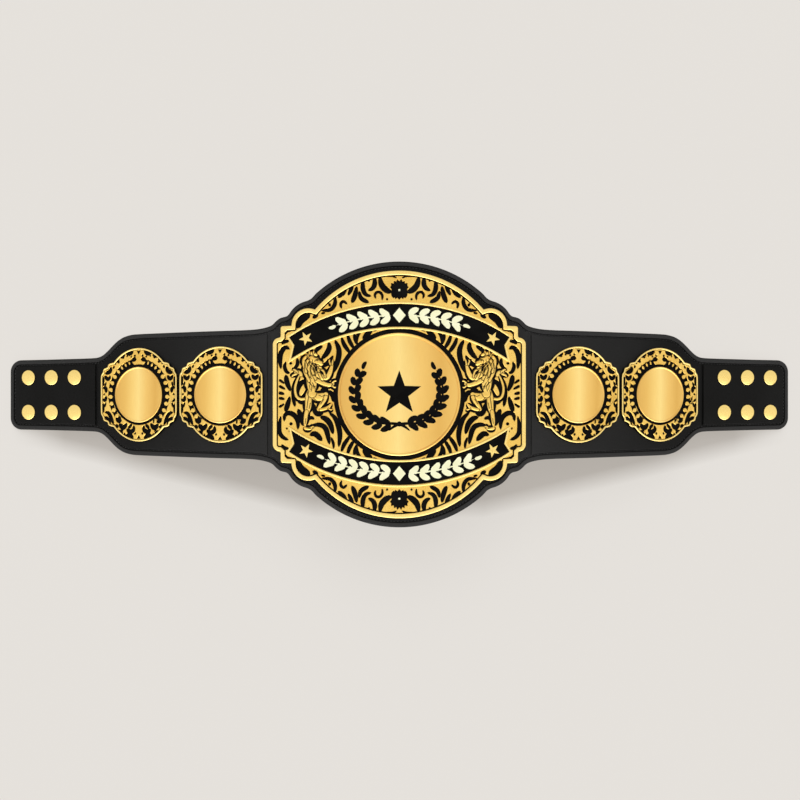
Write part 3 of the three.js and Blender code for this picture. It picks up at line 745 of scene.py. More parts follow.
stitchRow("groove_stitching", inset(outline, stitchShape["inset"]), levels["groove"])
stitchRow("back_stitching", inset(outline, stitchShape["inset"]), 0.0)
print("stitching ready")

# Main plate: enamel ground, rim and pierced scrollwork

mainShape = {
    "halfWidth": 129.0,
    "halfHeight": 124.0,
    "cusp": (85.0, 85.4),
    "scallop": (91.9, 69.4),
    "step": (120.7, 69.2, 2.5),  # outer corner and its radius
    "pillar": (129.0, 57.5, 7.0),
    "rim": 4.3,
    "line": 1.3,  # black line inside the rim
    "rimTop": 9.2,
    "discHole": 66.2,
}


def mainOutline():
    halfHeight = mainShape["halfHeight"]
    u, v = mainShape["cusp"]
    drop = halfHeight - v
    radius = (u * u + drop * drop) / (2 * drop)
    stop = math.degrees(math.atan2(v - halfHeight + radius, u))
    centreU, centreV = mainShape["scallop"]
    bump = math.hypot(u - centreU, v - centreV)
    start = math.degrees(math.atan2(v - centreV, u - centreU))
    stepU, stepV, stepRadius = mainShape["step"]
    pillarU, pillarV, pillarRadius = mainShape["pillar"]
    return fourfold(
        np.vstack([
            arcOf(0, halfHeight - radius, radius, 90, stop, 40),
            arcOf(centreU, centreV, bump, start - 6, 0, 16),
            arcOf(stepU - stepRadius, stepV - stepRadius, stepRadius, 90, 0, 5),
            [(stepU, pillarV + 1.2)],
            arcOf(pillarU - pillarRadius, pillarV - pillarRadius, pillarRadius, 90, 0, 9),
            [(pillarU, 0)],
        ])
    )


plateOutline = densified(mainOutline(), 5)
plate = slab("main_plate", plateOutline, levels["plate"], 7.3, 0.3, 2)
layOnBelt(plate, finish=enamel, replaces=("main_plate",))
rim = ring(
    "main_rim", plateOutline, roundedBar(mainShape["rim"], levels["relief"], mainShape["rimTop"], 0.8)
)
layOnBelt(rim, cut=False, smooth=50, finish=rimGold, replaces=("main_rim",))

# Strokes of (width, share of the way at which it is widest, points). Places are millimetres from
# the middle of the plate, for its right half.
cornerStrokes = [
    (5.4, 0.6, [(19.6, 117.8), (17.8, 110.0), (13.0, 104.6), (7.6, 102.0)]),
    (1.9, 0.5, [(14.5, 118.3), (7.5, 118.6), (2.6, 116.6)]),
    (4.2, 0.45, [(25.0, 117.6), (24.6, 110.8), (26.8, 106.4), (31.2, 104.0)]),
    (1.7, 0.5, [(30.9, 115.4), (30.0, 113.0)]),
    (2.5, 0.5, [(23.4, 95.8), (24.5, 99.6), (22.4, 102.5), (19.2, 102.2), (17.0, 99.0), (17.2, 94.2)]),
    (1.6, 0.5, [(12.4, 96.4), (12.1, 94.2)]),
    (4.0, 0.4, [(36.4, 114.4), (36.5, 106.4), (34.0, 100.6), (28.0, 98.3)]),
    (3.9, 0.6, [(40.3, 103.8), (38.3, 96.6), (30.4, 91.9)]),
    (4.4, 0.6, [(42.6, 108.6), (44.4, 99.6), (47.6, 91.6)]),
    (3.6, 0.35, [(46.9, 111.2), (48.5, 105.2), (51.4, 99.4)]),
    (4.2, 0.4, [(53.4, 108.2), (56.2, 102.2), (61.6, 97.0)]),
    (2.6, 0.5, [(57.9, 86.2), (58.9, 90.6), (56.2, 93.4), (52.2, 90.6)]),
    (3.6, 0.4, [(64.6, 98.8), (64.8, 90.8), (69.4, 85.2), (78.6, 84.4)]),
    (2.2, 0.5, [(70.6, 91.6), (69.4, 88.4)]),
    (1.8, 0.5, [(78.6, 81.4), (74.6, 82.2)]),
    (7.4, 0.45, [(103.2, 66.6), (100.0, 75.0), (89.8, 80.6)]),
    (3.4, 0.5, [(87.4, 77.0), (81.8, 80.6)]),
    (3.6, 0.5, [(107.4, 65.6), (114.0, 64.6), (116.4, 60.6)]),
    (5.0, 0.5, [(27.2, 65.2), (31.2, 61.2), (36.4, 54.8)]),
    (3.2, 0.45, [(38.8, 63.4), (42.4, 57.8), (43.0, 50.4)]),
    (3.2, 0.5, [(45.4, 61.4), (44.2, 55.4), (42.2, 49.8)]),
    (3.4, 0.5, [(52.2, 60.6), (49.6, 53.0), (45.0, 45.4)]),
    (3.6, 0.5, [(58.2, 57.6), (55.2, 49.8), (49.0, 41.0)]),
    (1.6, 0.4, [(20.5, 66.4), (26.0, 63.4)]),
]
flankStrokes = [
    (3.2, 0.5, [(119.6, 51.0), (116.4, 53.4), (111.8, 54.0)]),
    (4.6, 0.4, [(111.0, 45.6), (115.6, 47.7), (120.2, 42.4), (121.3, 33.9), (120.2, 25.6)]),
    (3.4, 0.5, [(115.2, 33.2), (116.6, 28.2), (114.4, 22.9), (110.8, 21.6)]),
    (3.4, 0.4, [(103.6, 36.8), (103.0, 31.1), (106.0, 26.6), (109.4, 24.3)]),
    (2.6, 0.5, [(110.2, 32.6), (110.0, 30.2)]),
    (3.4, 0.5, [(99.4, 39.6), (97.0, 31.1), (97.4, 24.0), (99.0, 18.0)]),
    (4.6, 0.35, [(115.4, 20.0), (113.8, 11.6), (110.2, 3.2)]),
    (4.6, 0.65, [(111.0, -2.0), (113.1, -9.2), (115.8, -17.6)]),
    (3.2, 0.75, [(105.6, 16.0), (107.8, 7.0), (107.5, -2.9), (105.6, -12.6)]),
    (2.2, 0.2, [(122.4, 15.0), (116.6, 11.0)]),
    (2.4, 0.2, [(122.6, 8.8), (115.6, 5.2)]),
    (2.8, 0.2, [(122.8, 1.8), (116.6, 0.4)]),
    (2.6, 0.2, [(122.6, -3.4), (116.4, -4.8)]),
    (2.4, 0.2, [(122.6, -12.8), (116.8, -9.4)]),
    (4.4, 0.45, [(91.0, 11.5), (95.4, 13.6), (100.6, 9.9), (103.2, 2.8), (101.6, -2.8)]),
    (3.0, 0.4, [(91.5, 10.5), (93.3, 4.2), (96.8, -1.0), (101.0, -3.6)]),
    (3.0, 0.5, [(103.0, -6.8), (96.4, -9.4)]),
    (4.4, 0.5, [(117.0, -27.4), (116.2, -20.8), (111.7, -18.6), (105.8, -21.6), (102.8, -27.6), (102.6, -35.6)]),
    (2.8, 0.5, [(110.2, -28.2), (109.4, -31.2)]),
    (1.5, 0.5, [(114.6, -33.4), (113.8, -35.4)]),
    (1.4, 0.5, [(111.6, -36.4), (111.0, -38.0)]),
    (3.8, 0.6, [(120.4, -21.6), (121.8, -29.6), (121.6, -38.6), (117.8, -43.6), (112.2, -46.0)]),
    (3.0, 0.5, [(119.6, -50.6), (117.0, -53.8), (112.0, -54.8)]),
    (4.8, 0.4, [(102.6, -14.6), (99.8, -22.0), (97.2, -31.8)]),
    (3.2, 0.5, [(85.6, -24.8), (89.7, -23.4), (94.0, -26.2)]),
    (4.2, 0.5, [(85.8, -9.6), (85.4, -16.3), (81.9, -20.0), (76.2, -18.2)]),
    (5.0, 0.4, [(80.0, -22.4), (74.1, -24.6), (69.4, -30.0), (66.4, -40.0)]),
    (4.6, 0.5, [(71.0, -17.8), (65.4, -22.7), (61.6, -30.4), (59.6, -40.6), (60.8, -53.0)]),
    (4.6, 0.5, [(89.0, -31.6), (81.0, -30.4), (74.0, -34.6), (70.0, -50.4)]),
    (5.0, 0.5, [(90.6, -41.0), (84.8, -39.8), (77.6, -46.6)]),
    (2.4, 0.5, [(68.6, -43.0), (66.4, -49.0), (66.0, -54.4)]),
    (3.8, 0.5, [(77.2, 48.8), (81.9, 46.2), (86.6, 41.8)]),
    (4.8, 0.45, [(71.0, 52.6), (70.5, 46.6), (73.4, 41.0), (78.4, 35.6)]),
    (4.2, 0.6, [(66.4, 39.2), (70.5, 33.2), (75.8, 29.4), (80.4, 29.8)]),
    (4.8, 0.45, [(65.0, 55.2), (60.7, 45.2), (61.4, 35.3), (64.8, 26.1), (69.6, 19.2)]),
    (4.2, 0.5, [(79.6, 4.6), (74.4, 4.2), (70.6, -0.6)]),
    (4.6, 0.5, [(71.6, 4.0), (66.8, -1.2), (66.0, -7.6)]),
    (2.6, 0.5, [(104.4, 46.8), (99.6, 44.6), (94.4, 46.2)]),
    (1.8, 0.5, [(106.6, 50.0), (103.4, 50.4)]),
]
rosette = [
    (0.0, 113.2), (2.0, 115.6), (3.0, 112.8), (5.2, 113.8), (5.6, 111.0), (8.2, 111.8), (8.0, 108.8),
    (9.4, 107.6), (7.6, 105.2), (8.4, 101.6), (7.6, 98.4), (6.0, 96.4), (4.6, 97.2), (3.8, 95.4),
    (2.0, 97.0), (0.0, 94.8),
]

lionShape = {"slim": 0.86, "clear": 3.4, "flat": 1.35, "line": 0.42}
lionLimbs = [
    # (width, height, points): the domes that make up the relief, back to front
    (3.4, 0.8, [(88.5, 0.5), (96.5, -4.6), (103.4, -3.2), (105.8, 4.4), (104.4, 12.4), (100.2, 21.6)]),
    (4.4, 0.9, [(98.6, 17.4), (101.0, 22.2), (106.8, 22.6)]),
    (2.6, 0.8, [(101.8, 21.6), (106.6, 25.0), (108.6, 24.2)]),
    (2.6, 0.8, [(103.0, 21.0), (107.8, 19.4), (109.4, 17.0)]),
    (8.6, 1.3, [(90.6, 5.0), (91.8, -3.6), (92.2, -12.0), (93.8, -20.0)]),
    (5.2, 1.1, [(93.0, -13.0), (94.6, -22.0), (95.6, -32.4)]),
    (3.8, 1.0, [(97.4, -33.4), (93.4, -34.6), (87.8, -34.2)]),
    (1.8, 0.9, [(90.4, -33.6), (87.4, -32.4), (85.6, -33.2)]),
    (9.6, 1.4, [(89.6, 1.6), (83.4, -2.4), (76.0, -1.6), (72.6, 1.6)]),
    (5.0, 1.1, [(72.6, 1.6), (75.2, -5.0), (79.4, -10.8), (82.8, -15.4)]),
    (4.0, 1.0, [(83.2, -15.6), (77.4, -15.0), (71.4, -12.6), (67.6, -8.6)]),
    (2.0, 0.9, [(72.6, -13.2), (69.0, -15.4), (66.8, -14.4)]),
    (12.4, 1.5, [(90.0, 21.0), (88.6, 11.6), (88.0, 1.4)]),
    (13.4, 1.6, [(90.8, 31.0), (90.0, 22.0), (85.8, 13.4)]),
    (5.6, 1.2, [(88.0, 16.4), (78.6, 12.0), (71.4, 9.4), (65.4, 10.8)]),
    (2.2, 1.0, [(68.4, 9.6), (65.4, 7.0), (63.6, 7.6)]),
    (2.2, 1.0, [(68.2, 11.4), (64.6, 13.6), (63.2, 13.0)]),
    (6.2, 1.3, [(87.6, 23.6), (79.6, 18.4), (73.4, 16.8), (69.8, 22.2), (67.4, 30.2)]),
    (2.4, 1.0, [(68.6, 28.4), (70.6, 33.4), (69.6, 35.0)]),
    (2.4, 1.0, [(67.8, 28.8), (66.8, 34.4), (66.0, 35.2)]),
    (4.2, 1.2, [(96.0, 31.6), (95.4, 22.6), (91.0, 13.6)]),
    (3.6, 1.25, [(86.6, 28.2), (87.4, 22.0), (84.4, 15.6)]),
    (3.4, 1.3, [(82.4, 27.6), (80.8, 21.4), (77.4, 14.6)]),
    (3.0, 1.3, [(80.6, 26.4), (76.2, 23.2), (74.6, 17.6)]),
    (4.0, 1.35, [(91.8, 39.4), (96.6, 35.6), (97.0, 28.0)]),
    (4.0, 1.4, [(90.6, 36.6), (94.2, 31.0), (94.2, 23.0)]),
    (4.0, 1.45, [(88.8, 33.6), (91.6, 27.0), (90.6, 18.8)]),
    (3.4, 1.5, [(86.0, 31.0), (88.4, 26.4), (86.6, 20.4)]),
    (9.0, 1.7, [(90.6, 37.0), (86.0, 35.6), (81.4, 32.4)]),
    (6.2, 1.6, [(84.6, 33.6), (80.2, 31.8), (77.0, 30.0)]),
    (3.4, 1.3, [(83.8, 29.6), (80.2, 27.8), (78.4, 26.6)]),
    (4.0, 1.5, [(93.6, 40.4), (88.0, 41.6), (82.6, 39.4)]),
    (2.4, 1.4, [(90.6, 40.4), (91.0, 43.4), (91.4, 44.0)]),
    (2.4, 1.4, [(86.8, 40.8), (86.4, 43.6), (86.2, 44.4)]),
]
lionLines = [
    # fine engraved lines: (width, points)
    (0.8, [(93.6, 37.6), (94.2, 33.0), (91.8, 28.8)]),
    (0.8, [(90.6, 36.4), (91.0, 31.6), (88.6, 27.2)]),
    (0.7, [(95.0, 31.2), (94.4, 26.4), (91.6, 22.6)]),
    (0.8, [(87.6, 35.0), (87.8, 31.2), (85.8, 28.0)]),
    (0.8, [(92.6, 24.6), (91.6, 19.6), (88.6, 16.0)]),
    (0.9, [(84.8, 30.4), (82.0, 28.0), (78.0, 28.6)]),
    (1.0, [(83.6, 34.6), (82.4, 34.2)]),
    (0.7, [(86.0, 37.4), (82.6, 36.6), (79.6, 33.8)]),
    (0.7, [(77.6, 31.8), (76.8, 30.4)]),
    (0.8, [(91.4, 39.0), (87.0, 38.6), (82.8, 37.2)]),
    (0.9, [(88.6, 26.0), (84.4, 24.0), (79.4, 21.4), (75.6, 19.4)]),
    (0.8, [(86.6, 20.2), (81.6, 16.0), (76.6, 13.4)]),
    (0.8, [(84.6, 12.4), (78.0, 9.4), (72.0, 7.8)]),
    (0.8, [(87.8, 12.0), (85.0, 6.6), (85.2, 2.6)]),
    (0.7, [(91.0, 9.6), (90.0, 5.0)]),
    (0.9, [(84.6, 5.0), (80.2, 2.4), (76.2, 3.4)]),
    (0.8, [(87.4, -3.0), (83.0, -6.2), (78.6, -6.4)]),
    (0.7, [(81.0, -0.6), (78.0, -1.8), (75.2, -0.4)]),
    (0.8, [(91.6, -2.0), (92.6, -8.0), (93.4, -14.0)]),
    (0.7, [(89.8, -8.4), (91.0, -14.0)]),
    (0.7, [(76.0, -4.6), (79.2, -9.4)]),
    (0.7, [(74.4, -12.4), (71.2, -10.4)]),
    (0.7, [(94.4, -24.0), (95.2, -29.4)]),
    (0.7, [(92.6, -33.6), (90.0, -34.2)]),
    (0.7, [(103.6, 5.6), (103.0, 12.0), (100.4, 18.0)]),
    (0.7, [(101.4, 20.8), (105.6, 22.4)]),
    (0.7, [(70.6, 26.2), (69.4, 29.8)]),
    (0.7, [(68.4, 10.8), (66.6, 10.0)]),
    (0.8, [(89.4, 29.6), (86.0, 25.4), (85.6, 21.4)]),
    (0.8, [(90.8, 12.6), (88.2, 8.4), (89.0, 3.4)]),
    (0.7, [(86.6, 10.0), (86.2, 6.2)]),
    (0.7, [(91.4, 4.6), (92.2, 0.2)]),
]


strokeSwell = 1.14  # every cut stroke is opened up by this much


def cutStroke(sheet, row, low, top, mirror):
    width, belly, points = row
    width *= strokeSwell
    steps = max(6, min(14, 3 + 3 * len(points)))
    shape = strokeOf(width, belly, points, mirror, steps, 0.12)
    grown = strokeOf(width, belly, points, mirror, steps, 0.4)
    carve(sheet, chamferCutter(shape, grown, low, top))


def mainScrollwork():
    low, top = levels["relief"], levels["reliefTop"]
    edge = inset(plateOutline, mainShape["rim"] + mainShape["line"])
    apart = np.linalg.norm(edge - np.roll(edge, -1, 0), axis=1) > 0.05
    sheet = slab("main_scrollwork", edge[apart], low, top)
    for side in (-1, 1):
        for row in flankStrokes:
            cutStroke(sheet, row, low, top, (side, 1))
        for sideV in (-1, 1):
            for row in cornerStrokes:
                cutStroke(sheet, row, low, top, (side, sideV))
        for width, height, points in lionLimbs:
            cleared = width * lionShape["slim"] + lionShape["clear"]
            cutStroke(sheet, (cleared, 0.5, points), low, top, (side, 1))
    for sideV in (-1, 1):
        half = np.array(rosette)
        flower = anticlockwise(np.vstack([half, (half[1:-1] * (-1, 1))[::-1]]) * (1, sideV))
        carve(sheet, chamferCutter(flower, inset(flower, -0.25), low, top))
    hole = mainShape["discHole"]
    carve(sheet, chamferCutter(circleOf(hole, 128), circleOf(hole + 0.3, 128), low, top))
    return sheet


scroll = mainScrollwork()
layOnBelt(
    scroll, smooth=25, finish=gold, replaces=("main_scrollwork",)
)
for sideV in (-1, 1):
    bead = lathe("rosette_bead", [(1.1, 7.3), (1.1, 8.3), (0.8, 8.6), (0.3, 8.75)], 16)
    setCoords(bead, coordsOf(bead) + (0, 104.5 * sideV, 0))
    bead.name = "top_rosette_bead" if sideV > 0 else "bottom_rosette_bead"
    layOnBelt(bead, cut=False, finish=cream)
print("scrollwork ready")

# Lions


def makeLion(name, side):
    domes = []
    for width, height, points in lionLimbs:
        width *= lionShape["slim"]
        path = smoothPath(points, 14) * (side, 1)
        curve = bpy.data.curves.new("limb", "CURVE")
        curve.dimensions = "3D"
        curve.bevel_depth = 1
        curve.bevel_resolution = 3
        curve.use_fill_caps = True
        spline = curve.splines.new("POLY")
        spline.points.add(len(path) - 1)
        for k, (point, (u, v)) in enumerate(zip(spline.points, path)):
            t = k / (len(path) - 1)
            swell = min(t / 0.4, (1 - t) / 0.6)
            point.co = (u, v, 0, 1)
            point.radius = max(0.35, width / 2 * math.sqrt(max(0, swell * (2 - swell)) * 0.88 + 0.12))
        limb = bpy.data.objects.new("limb", curve)
        bpy.context.collection.objects.link(limb)
        activate(limb)
        bpy.ops.object.convert(target="MESH")
        limb = bpy.context.object
        coords = coordsOf(limb)
        coords[:, 2] *= lionShape["flat"] * height / width
        setCoords(limb, coords + (0, 0, levels["relief"]))
        domes.append(limb)
    lion = joined(name, domes)
    lion.data.remesh_voxel_size = 0.36
    bpy.ops.object.voxel_remesh()
    bpy.ops.object.mode_set(mode="EDIT")
    bpy.ops.mesh.select_all(action="SELECT")
    bpy.ops.mesh.vertices_smooth(factor=0.5, repeat=2)
    bpy.ops.mesh.select_all(action="SELECT")
    bpy.ops.mesh.bisect(
        plane_co=(0, 0, levels["relief"] + 0.1), plane_no=(0, 0, 1), use_fill=True, clear_inner=True
    )
    bpy.ops.object.mode_set(mode="OBJECT")
    coords = coordsOf(lion)
    mask = np.zeros(len(coords))
    thick = lionShape["line"]
    for width, height, points in lionLimbs:
        # each limb is outlined over the ones behind it, but not where it springs from
        path = smoothPath(points, 14) * (side, 1)
        gap = distanceTo(coords[:, :2], path[3:], closed=False) - 0.44 * width * lionShape["slim"]
        mask = np.where(gap < 0, 0, mask)
        mask = np.maximum(mask, np.clip(1.5 - np.abs(gap) / thick, 0, 1) * (gap > -thick))
    for width, points in lionLines:
        gap = distanceTo(coords[:, :2], smoothPath(points, 10) * (side, 1), closed=False)
        mask = np.maximum(mask, np.clip((width * 0.75 - gap) / (width * 0.45), 0, 1))
    raised = np.clip((coords[:, 2] - levels["relief"] - 0.15) / 0.3, 0, 1)
    mask = np.maximum(mask * raised, 1 - np.clip((coords[:, 2] - levels["relief"] - 0.05) / 0.25, 0, 1))
    coords[:, 2] -= 0.3 * mask * raised
    setCoords(lion, coords)
    lines = lion.data.attributes.new("engraved", "FLOAT", "POINT")
    lines.data.foreach_set("value", mask.astype(np.float32))
    layOnBelt(lion, cut=False, smooth=70, finish=lionGold, replaces=(name,))


makeLion("left_lion", -1)
makeLion("right_lion", 1)
print("lions ready")

# Banners

bannerShape = {
    "offset": 79.2,
    "radius": 205.0,
    "half": 11.6,
    "reach": 111.5,
    "lowReach": 109.3,
    "notch": 106.0,
    "edge": 2.0,
    "fieldTop": 9.6,
    "frameTop": 10.1,
}


def sagAt(u):
    return bannerShape["radius"] - np.sqrt(bannerShape["radius"] ** 2 - u**2)


def bannerOutline(side):
    b = bannerShape
    upper = np.linspace(b["reach"], -b["reach"], 65)
    lower = np.linspace(-b["lowReach"], b["lowReach"], 65)
    top = np.column_stack([upper, b["offset"] + b["half"] - sagAt(upper)])
    bottom = np.column_stack([lower, b["offset"] - b["half"] - sagAt(lower)])
    forkV = b["offset"] - sagAt(b["notch"])
    loop = np.vstack([top, [(-b["notch"], forkV)], bottom, [(b["notch"], forkV)]])
    return anticlockwise(loop * (1, side))


def makeBanner(name, side):
    field = bannerOutline(side)
    ground = slab(
        name + "_banner_field", inset(field, 0.25), levels["banner"], bannerShape["fieldTop"]
    )
    layOnBelt(ground, finish=enamel, replaces=(name + "_banner_field",))
    frameRing = ring(
        name + "_banner_frame",
        inset(field, -bannerShape["edge"]),
        roundedBar(bannerShape["edge"], levels["banner"], bannerShape["frameTop"], 0.45),
    )
    layOnBelt(
        frameRing, cut=False, smooth=50, finish=rimGold,
        replaces=(name + "_banner_frame",),
    )


starShape = {"radius": 7.3, "waist": 2.95, "u": 94.0, "low": 9.65, "side": 0.45, "top": 10.3}


def starOutline(radius, waist, turn=0.0, centre=(0, 0)):
    angle = np.radians(90 + 36 * np.arange(10) + turn)
    reach = np.where(np.arange(10) % 2 == 0, radius, waist)
    return np.column_stack([centre[0] + reach * np.cos(angle), centre[1] + reach * np.sin(angle)])


def makeStar(name, end, side):
    u = end * starShape["u"]
    v = side * (bannerShape["offset"] - sagAt(starShape["u"]))
    lean = -end * side * math.degrees(math.asin(starShape["u"] / bannerShape["radius"]))
    whole = starOutline(starShape["radius"], starShape["waist"], lean, (u, v))
    peak = starOutline(0.5, 0.2, lean, (u, v))
    low = starShape["low"]
    star = stack(name, [(whole, low), (whole, low + starShape["side"]), (peak, starShape["top"])])
    layOnBelt(star, smooth=0, cut=False, finish=rimGold, replaces=(name,))


garlandShape = {
    "pairs": 6,
    "first": 9.5,  # from the middle lozenge to the first pair of leaves
    "pitch": 10.6,
    "leaf": 12.2,
    "width": 6.2,
    "lean": 37,
    "top": 10.0,
}


def leafAt(u, v, length, width, angle, low, top, steps=8):
    a = math.radians(angle)
    tip = (u + length * math.cos(a), v + length * math.sin(a))
    bend = (
        (u + tip[0]) / 2 - 0.1 * length * math.sin(a),
        (v + tip[1]) / 2 + 0.1 * length * math.cos(a),
    )
    return slab("leaf", strokeOf(width, 0.45, [(u, v), bend, tip], steps=steps), low, top, 0.18, 1)


def makeGarland(name, side, pairs, pitch):
    # a laurel garland on each banner, from the middle outwards
    low, top = bannerShape["fieldTop"] - 0.1, garlandShape["top"]
    parts = []
    midV = bannerShape["offset"]
    lozenge = np.array([(0, -7.6), (6.4, 0), (0, 7.6), (-6.4, 0)]) + (0, midV)
    small = np.array([(0, -3.4), (2.8, 0), (0, 3.4), (-2.8, 0)]) + (0, midV)
    gem = stack("gem", [(lozenge, low), (lozenge, top - 0.2), (small, top + 0.05)])
    parts.append(gem)
    for end in (-1, 1):
        stem = [
            (end * s, midV - sagAt(s))
            for s in np.linspace(garlandShape["first"] - 1, garlandShape["first"] + pairs * pitch, 7)
        ]
        parts.append(slab("stem", strokeOf(1.5, 0.3, stem, steps=24), low, top - 0.15))
        for k in range(pairs):
            s = garlandShape["first"] + k * pitch
            v = midV - sagAt(s)
            slope = math.degrees(math.asin(s / bannerShape["radius"]))
            for way in (-1, 1):
                angle = way * garlandShape["lean"] - slope
                if end < 0:
                    angle = 180 - angle
                parts.append(
                    leafAt(end * s, v, garlandShape["leaf"], garlandShape["width"], angle, low, top)
                )
            berry = lathe("berry", [(1.25, low), (1.25, top - 0.2), (0.8, top)], 12)
            setCoords(berry, coordsOf(berry) + (end * (s + pitch * 0.62), midV - sagAt(s + pitch * 0.62), 0))
            parts.append(berry)
        s = garlandShape["first"] + pairs * pitch
        slope = math.degrees(math.asin(s / bannerShape["radius"]))
        angle = -slope if end > 0 else 180 + slope
        parts.append(leafAt(end * s, midV - sagAt(s), 8, 3.6, angle, low, top))
    garland = joined(name + "_garland", parts)
    coords = coordsOf(garland)
    if side < 0:
        coords[:, 1] *= -1
        setCoords(garland, coords)
        bpy.ops.object.mode_set(mode="EDIT")
        bpy.ops.mesh.select_all(action="SELECT")
        bpy.ops.mesh.flip_normals()
        bpy.ops.object.mode_set(mode="OBJECT")
    layOnBelt(garland, cut=False, smooth=20, finish=cream)


for bannerName, side in (("top", 1), ("bottom", -1)):
    makeBanner(bannerName, side)
    for endName, end in (("left", -1), ("right", 1)):
        makeStar(endName + "_" + bannerName + "_star", end, side)
makeGarland("top", 1, 5, 10.8)
makeGarland("bottom", -1, 6, 11.0)
print("banners ready")

# Centre disc with a bare star in a wreath

discShape = {"radius": 61.5, "low": 7.6, "face": 8.95, "border": 9.5, "sides": 144}
disc = lathe(
    "center_disc",
    [
        (61.5, 7.6), (61.5, 9.1), (61.3, 9.35), (60.9, 9.5), (60.1, 9.5), (59.7, 9.35),
        (59.5, 8.8), (59.1, 8.75), (58.9, 8.95),
    ],
    discShape["sides"],
)
layOnBelt(disc, smooth=35, finish=discGold, replaces=("center_disc",))

emblemShape = {"star": 23.0, "waist": 9.4, "leaves": 9, "leaf": 12.4, "leafWidth": 6.2, "stretch": 1.16}


def makeEmblem():
    low, top = discShape["face"] - 0.1, discShape["face"] + 0.16
    star = starOutline(emblemShape["star"], emblemShape["waist"], 0, (0, 1))
    parts = [slab("star", star, low, top, 0.1, 1)]
    knot = lathe("knot", [(2.6, low), (2.6, top), (1.9, top + 0.08)], 20)
    setCoords(knot, coordsOf(knot) + (0, -29.6, 0))
    parts.append(knot)
    for end in (-1, 1):
        path = emblemShape["stretch"] * smoothPath(
            [(0, -25.5), (16, -24.5), (29, -17.5), (36.5, -5.0), (37.0, 8.5), (31.5, 21.5)], 60
        )
        foot = [(-11 * end, -36.6), (-4 * end, -31.4), (4 * end, -29.4), (20 * end, -28.6)]
        parts.append(slab("stem", strokeOf(2.6, 0.3, path[::6] * (end, 1), steps=30), low, top - 0.04))
        parts.append(slab("foot", strokeOf(3.0, 0.4, foot, steps=16), low, top - 0.02 * (end > 0)))
        count = emblemShape["leaves"]
        for k in range(count):
            place = path[6 + round(48 * k / (count - 1))]
            way = path[min(60, 8 + round(48 * k / (count - 1)))] - path[4 + round(48 * k / (count - 1))]
            heading = math.degrees(math.atan2(way[1], way[0]))
            size = emblemShape["leaf"] * (1.02 - 0.035 * k)
            for lean in (-34, 34):
                angle = heading + lean
                if end < 0:
                    angle = 180 - angle
                parts.append(leafAt(end * place[0], place[1], size, emblemShape["leafWidth"], angle, low, top))
        tip = math.degrees(math.atan2(*(path[60] - path[56])[::-1]))
        parts.append(leafAt(end * path[60][0], path[60][1], 9, 4.2, tip if end > 0 else 180 - tip, low, top))
    emblem = joined("center_emblem", parts)
    layOnBelt(emblem, cut=False, smooth=20, finish=enamel)


makeEmblem()
print("centre disc ready")

# Small plates, made once and laid at four places

sideShape = {
    "halfHeight": 49.4,
    "shoulder": [
        (31, 34.3), (34.4, 33.7), (37.2, 32.8), (38.2, 31.0), (38.7, 29.6), (40.6, 28.7),
        (42.6, 28.1), (43.9, 26.8), (44.3, 24.8), (45.2, 23.0), (46.4, 21.4), (46.9, 18.6),
    ],
    "halfWidth": 47.0,
    "rim": 1.7,
    "line": 0.5,
    "rimTop": 8.8,
    "discHole": 32.1,
    "markSwell": 1.17,
    "centres": {"inner": 187.0, "outer": 284.4},
}


def sideOutline():
    u, v = sideShape["shoulder"][0]
    drop = sideShape["halfHeight"] - v
    radius = (u * u + drop * drop) / (2 * drop)
    stop = math.degrees(math.atan2(v - sideShape["halfHeight"] + radius, u))
    return fourfold(
        np.vstack([
            arcOf(0, sideShape["halfHeight"] - radius, radius, 90, stop + 1, 26),
            smoothPath(sideShape["shoulder"], 34),
            [(sideShape["halfWidth"], 16.5), (sideShape["halfWidth"], 0)],
        ])
    )


sideEdge = densified(sideOutline(), 3)

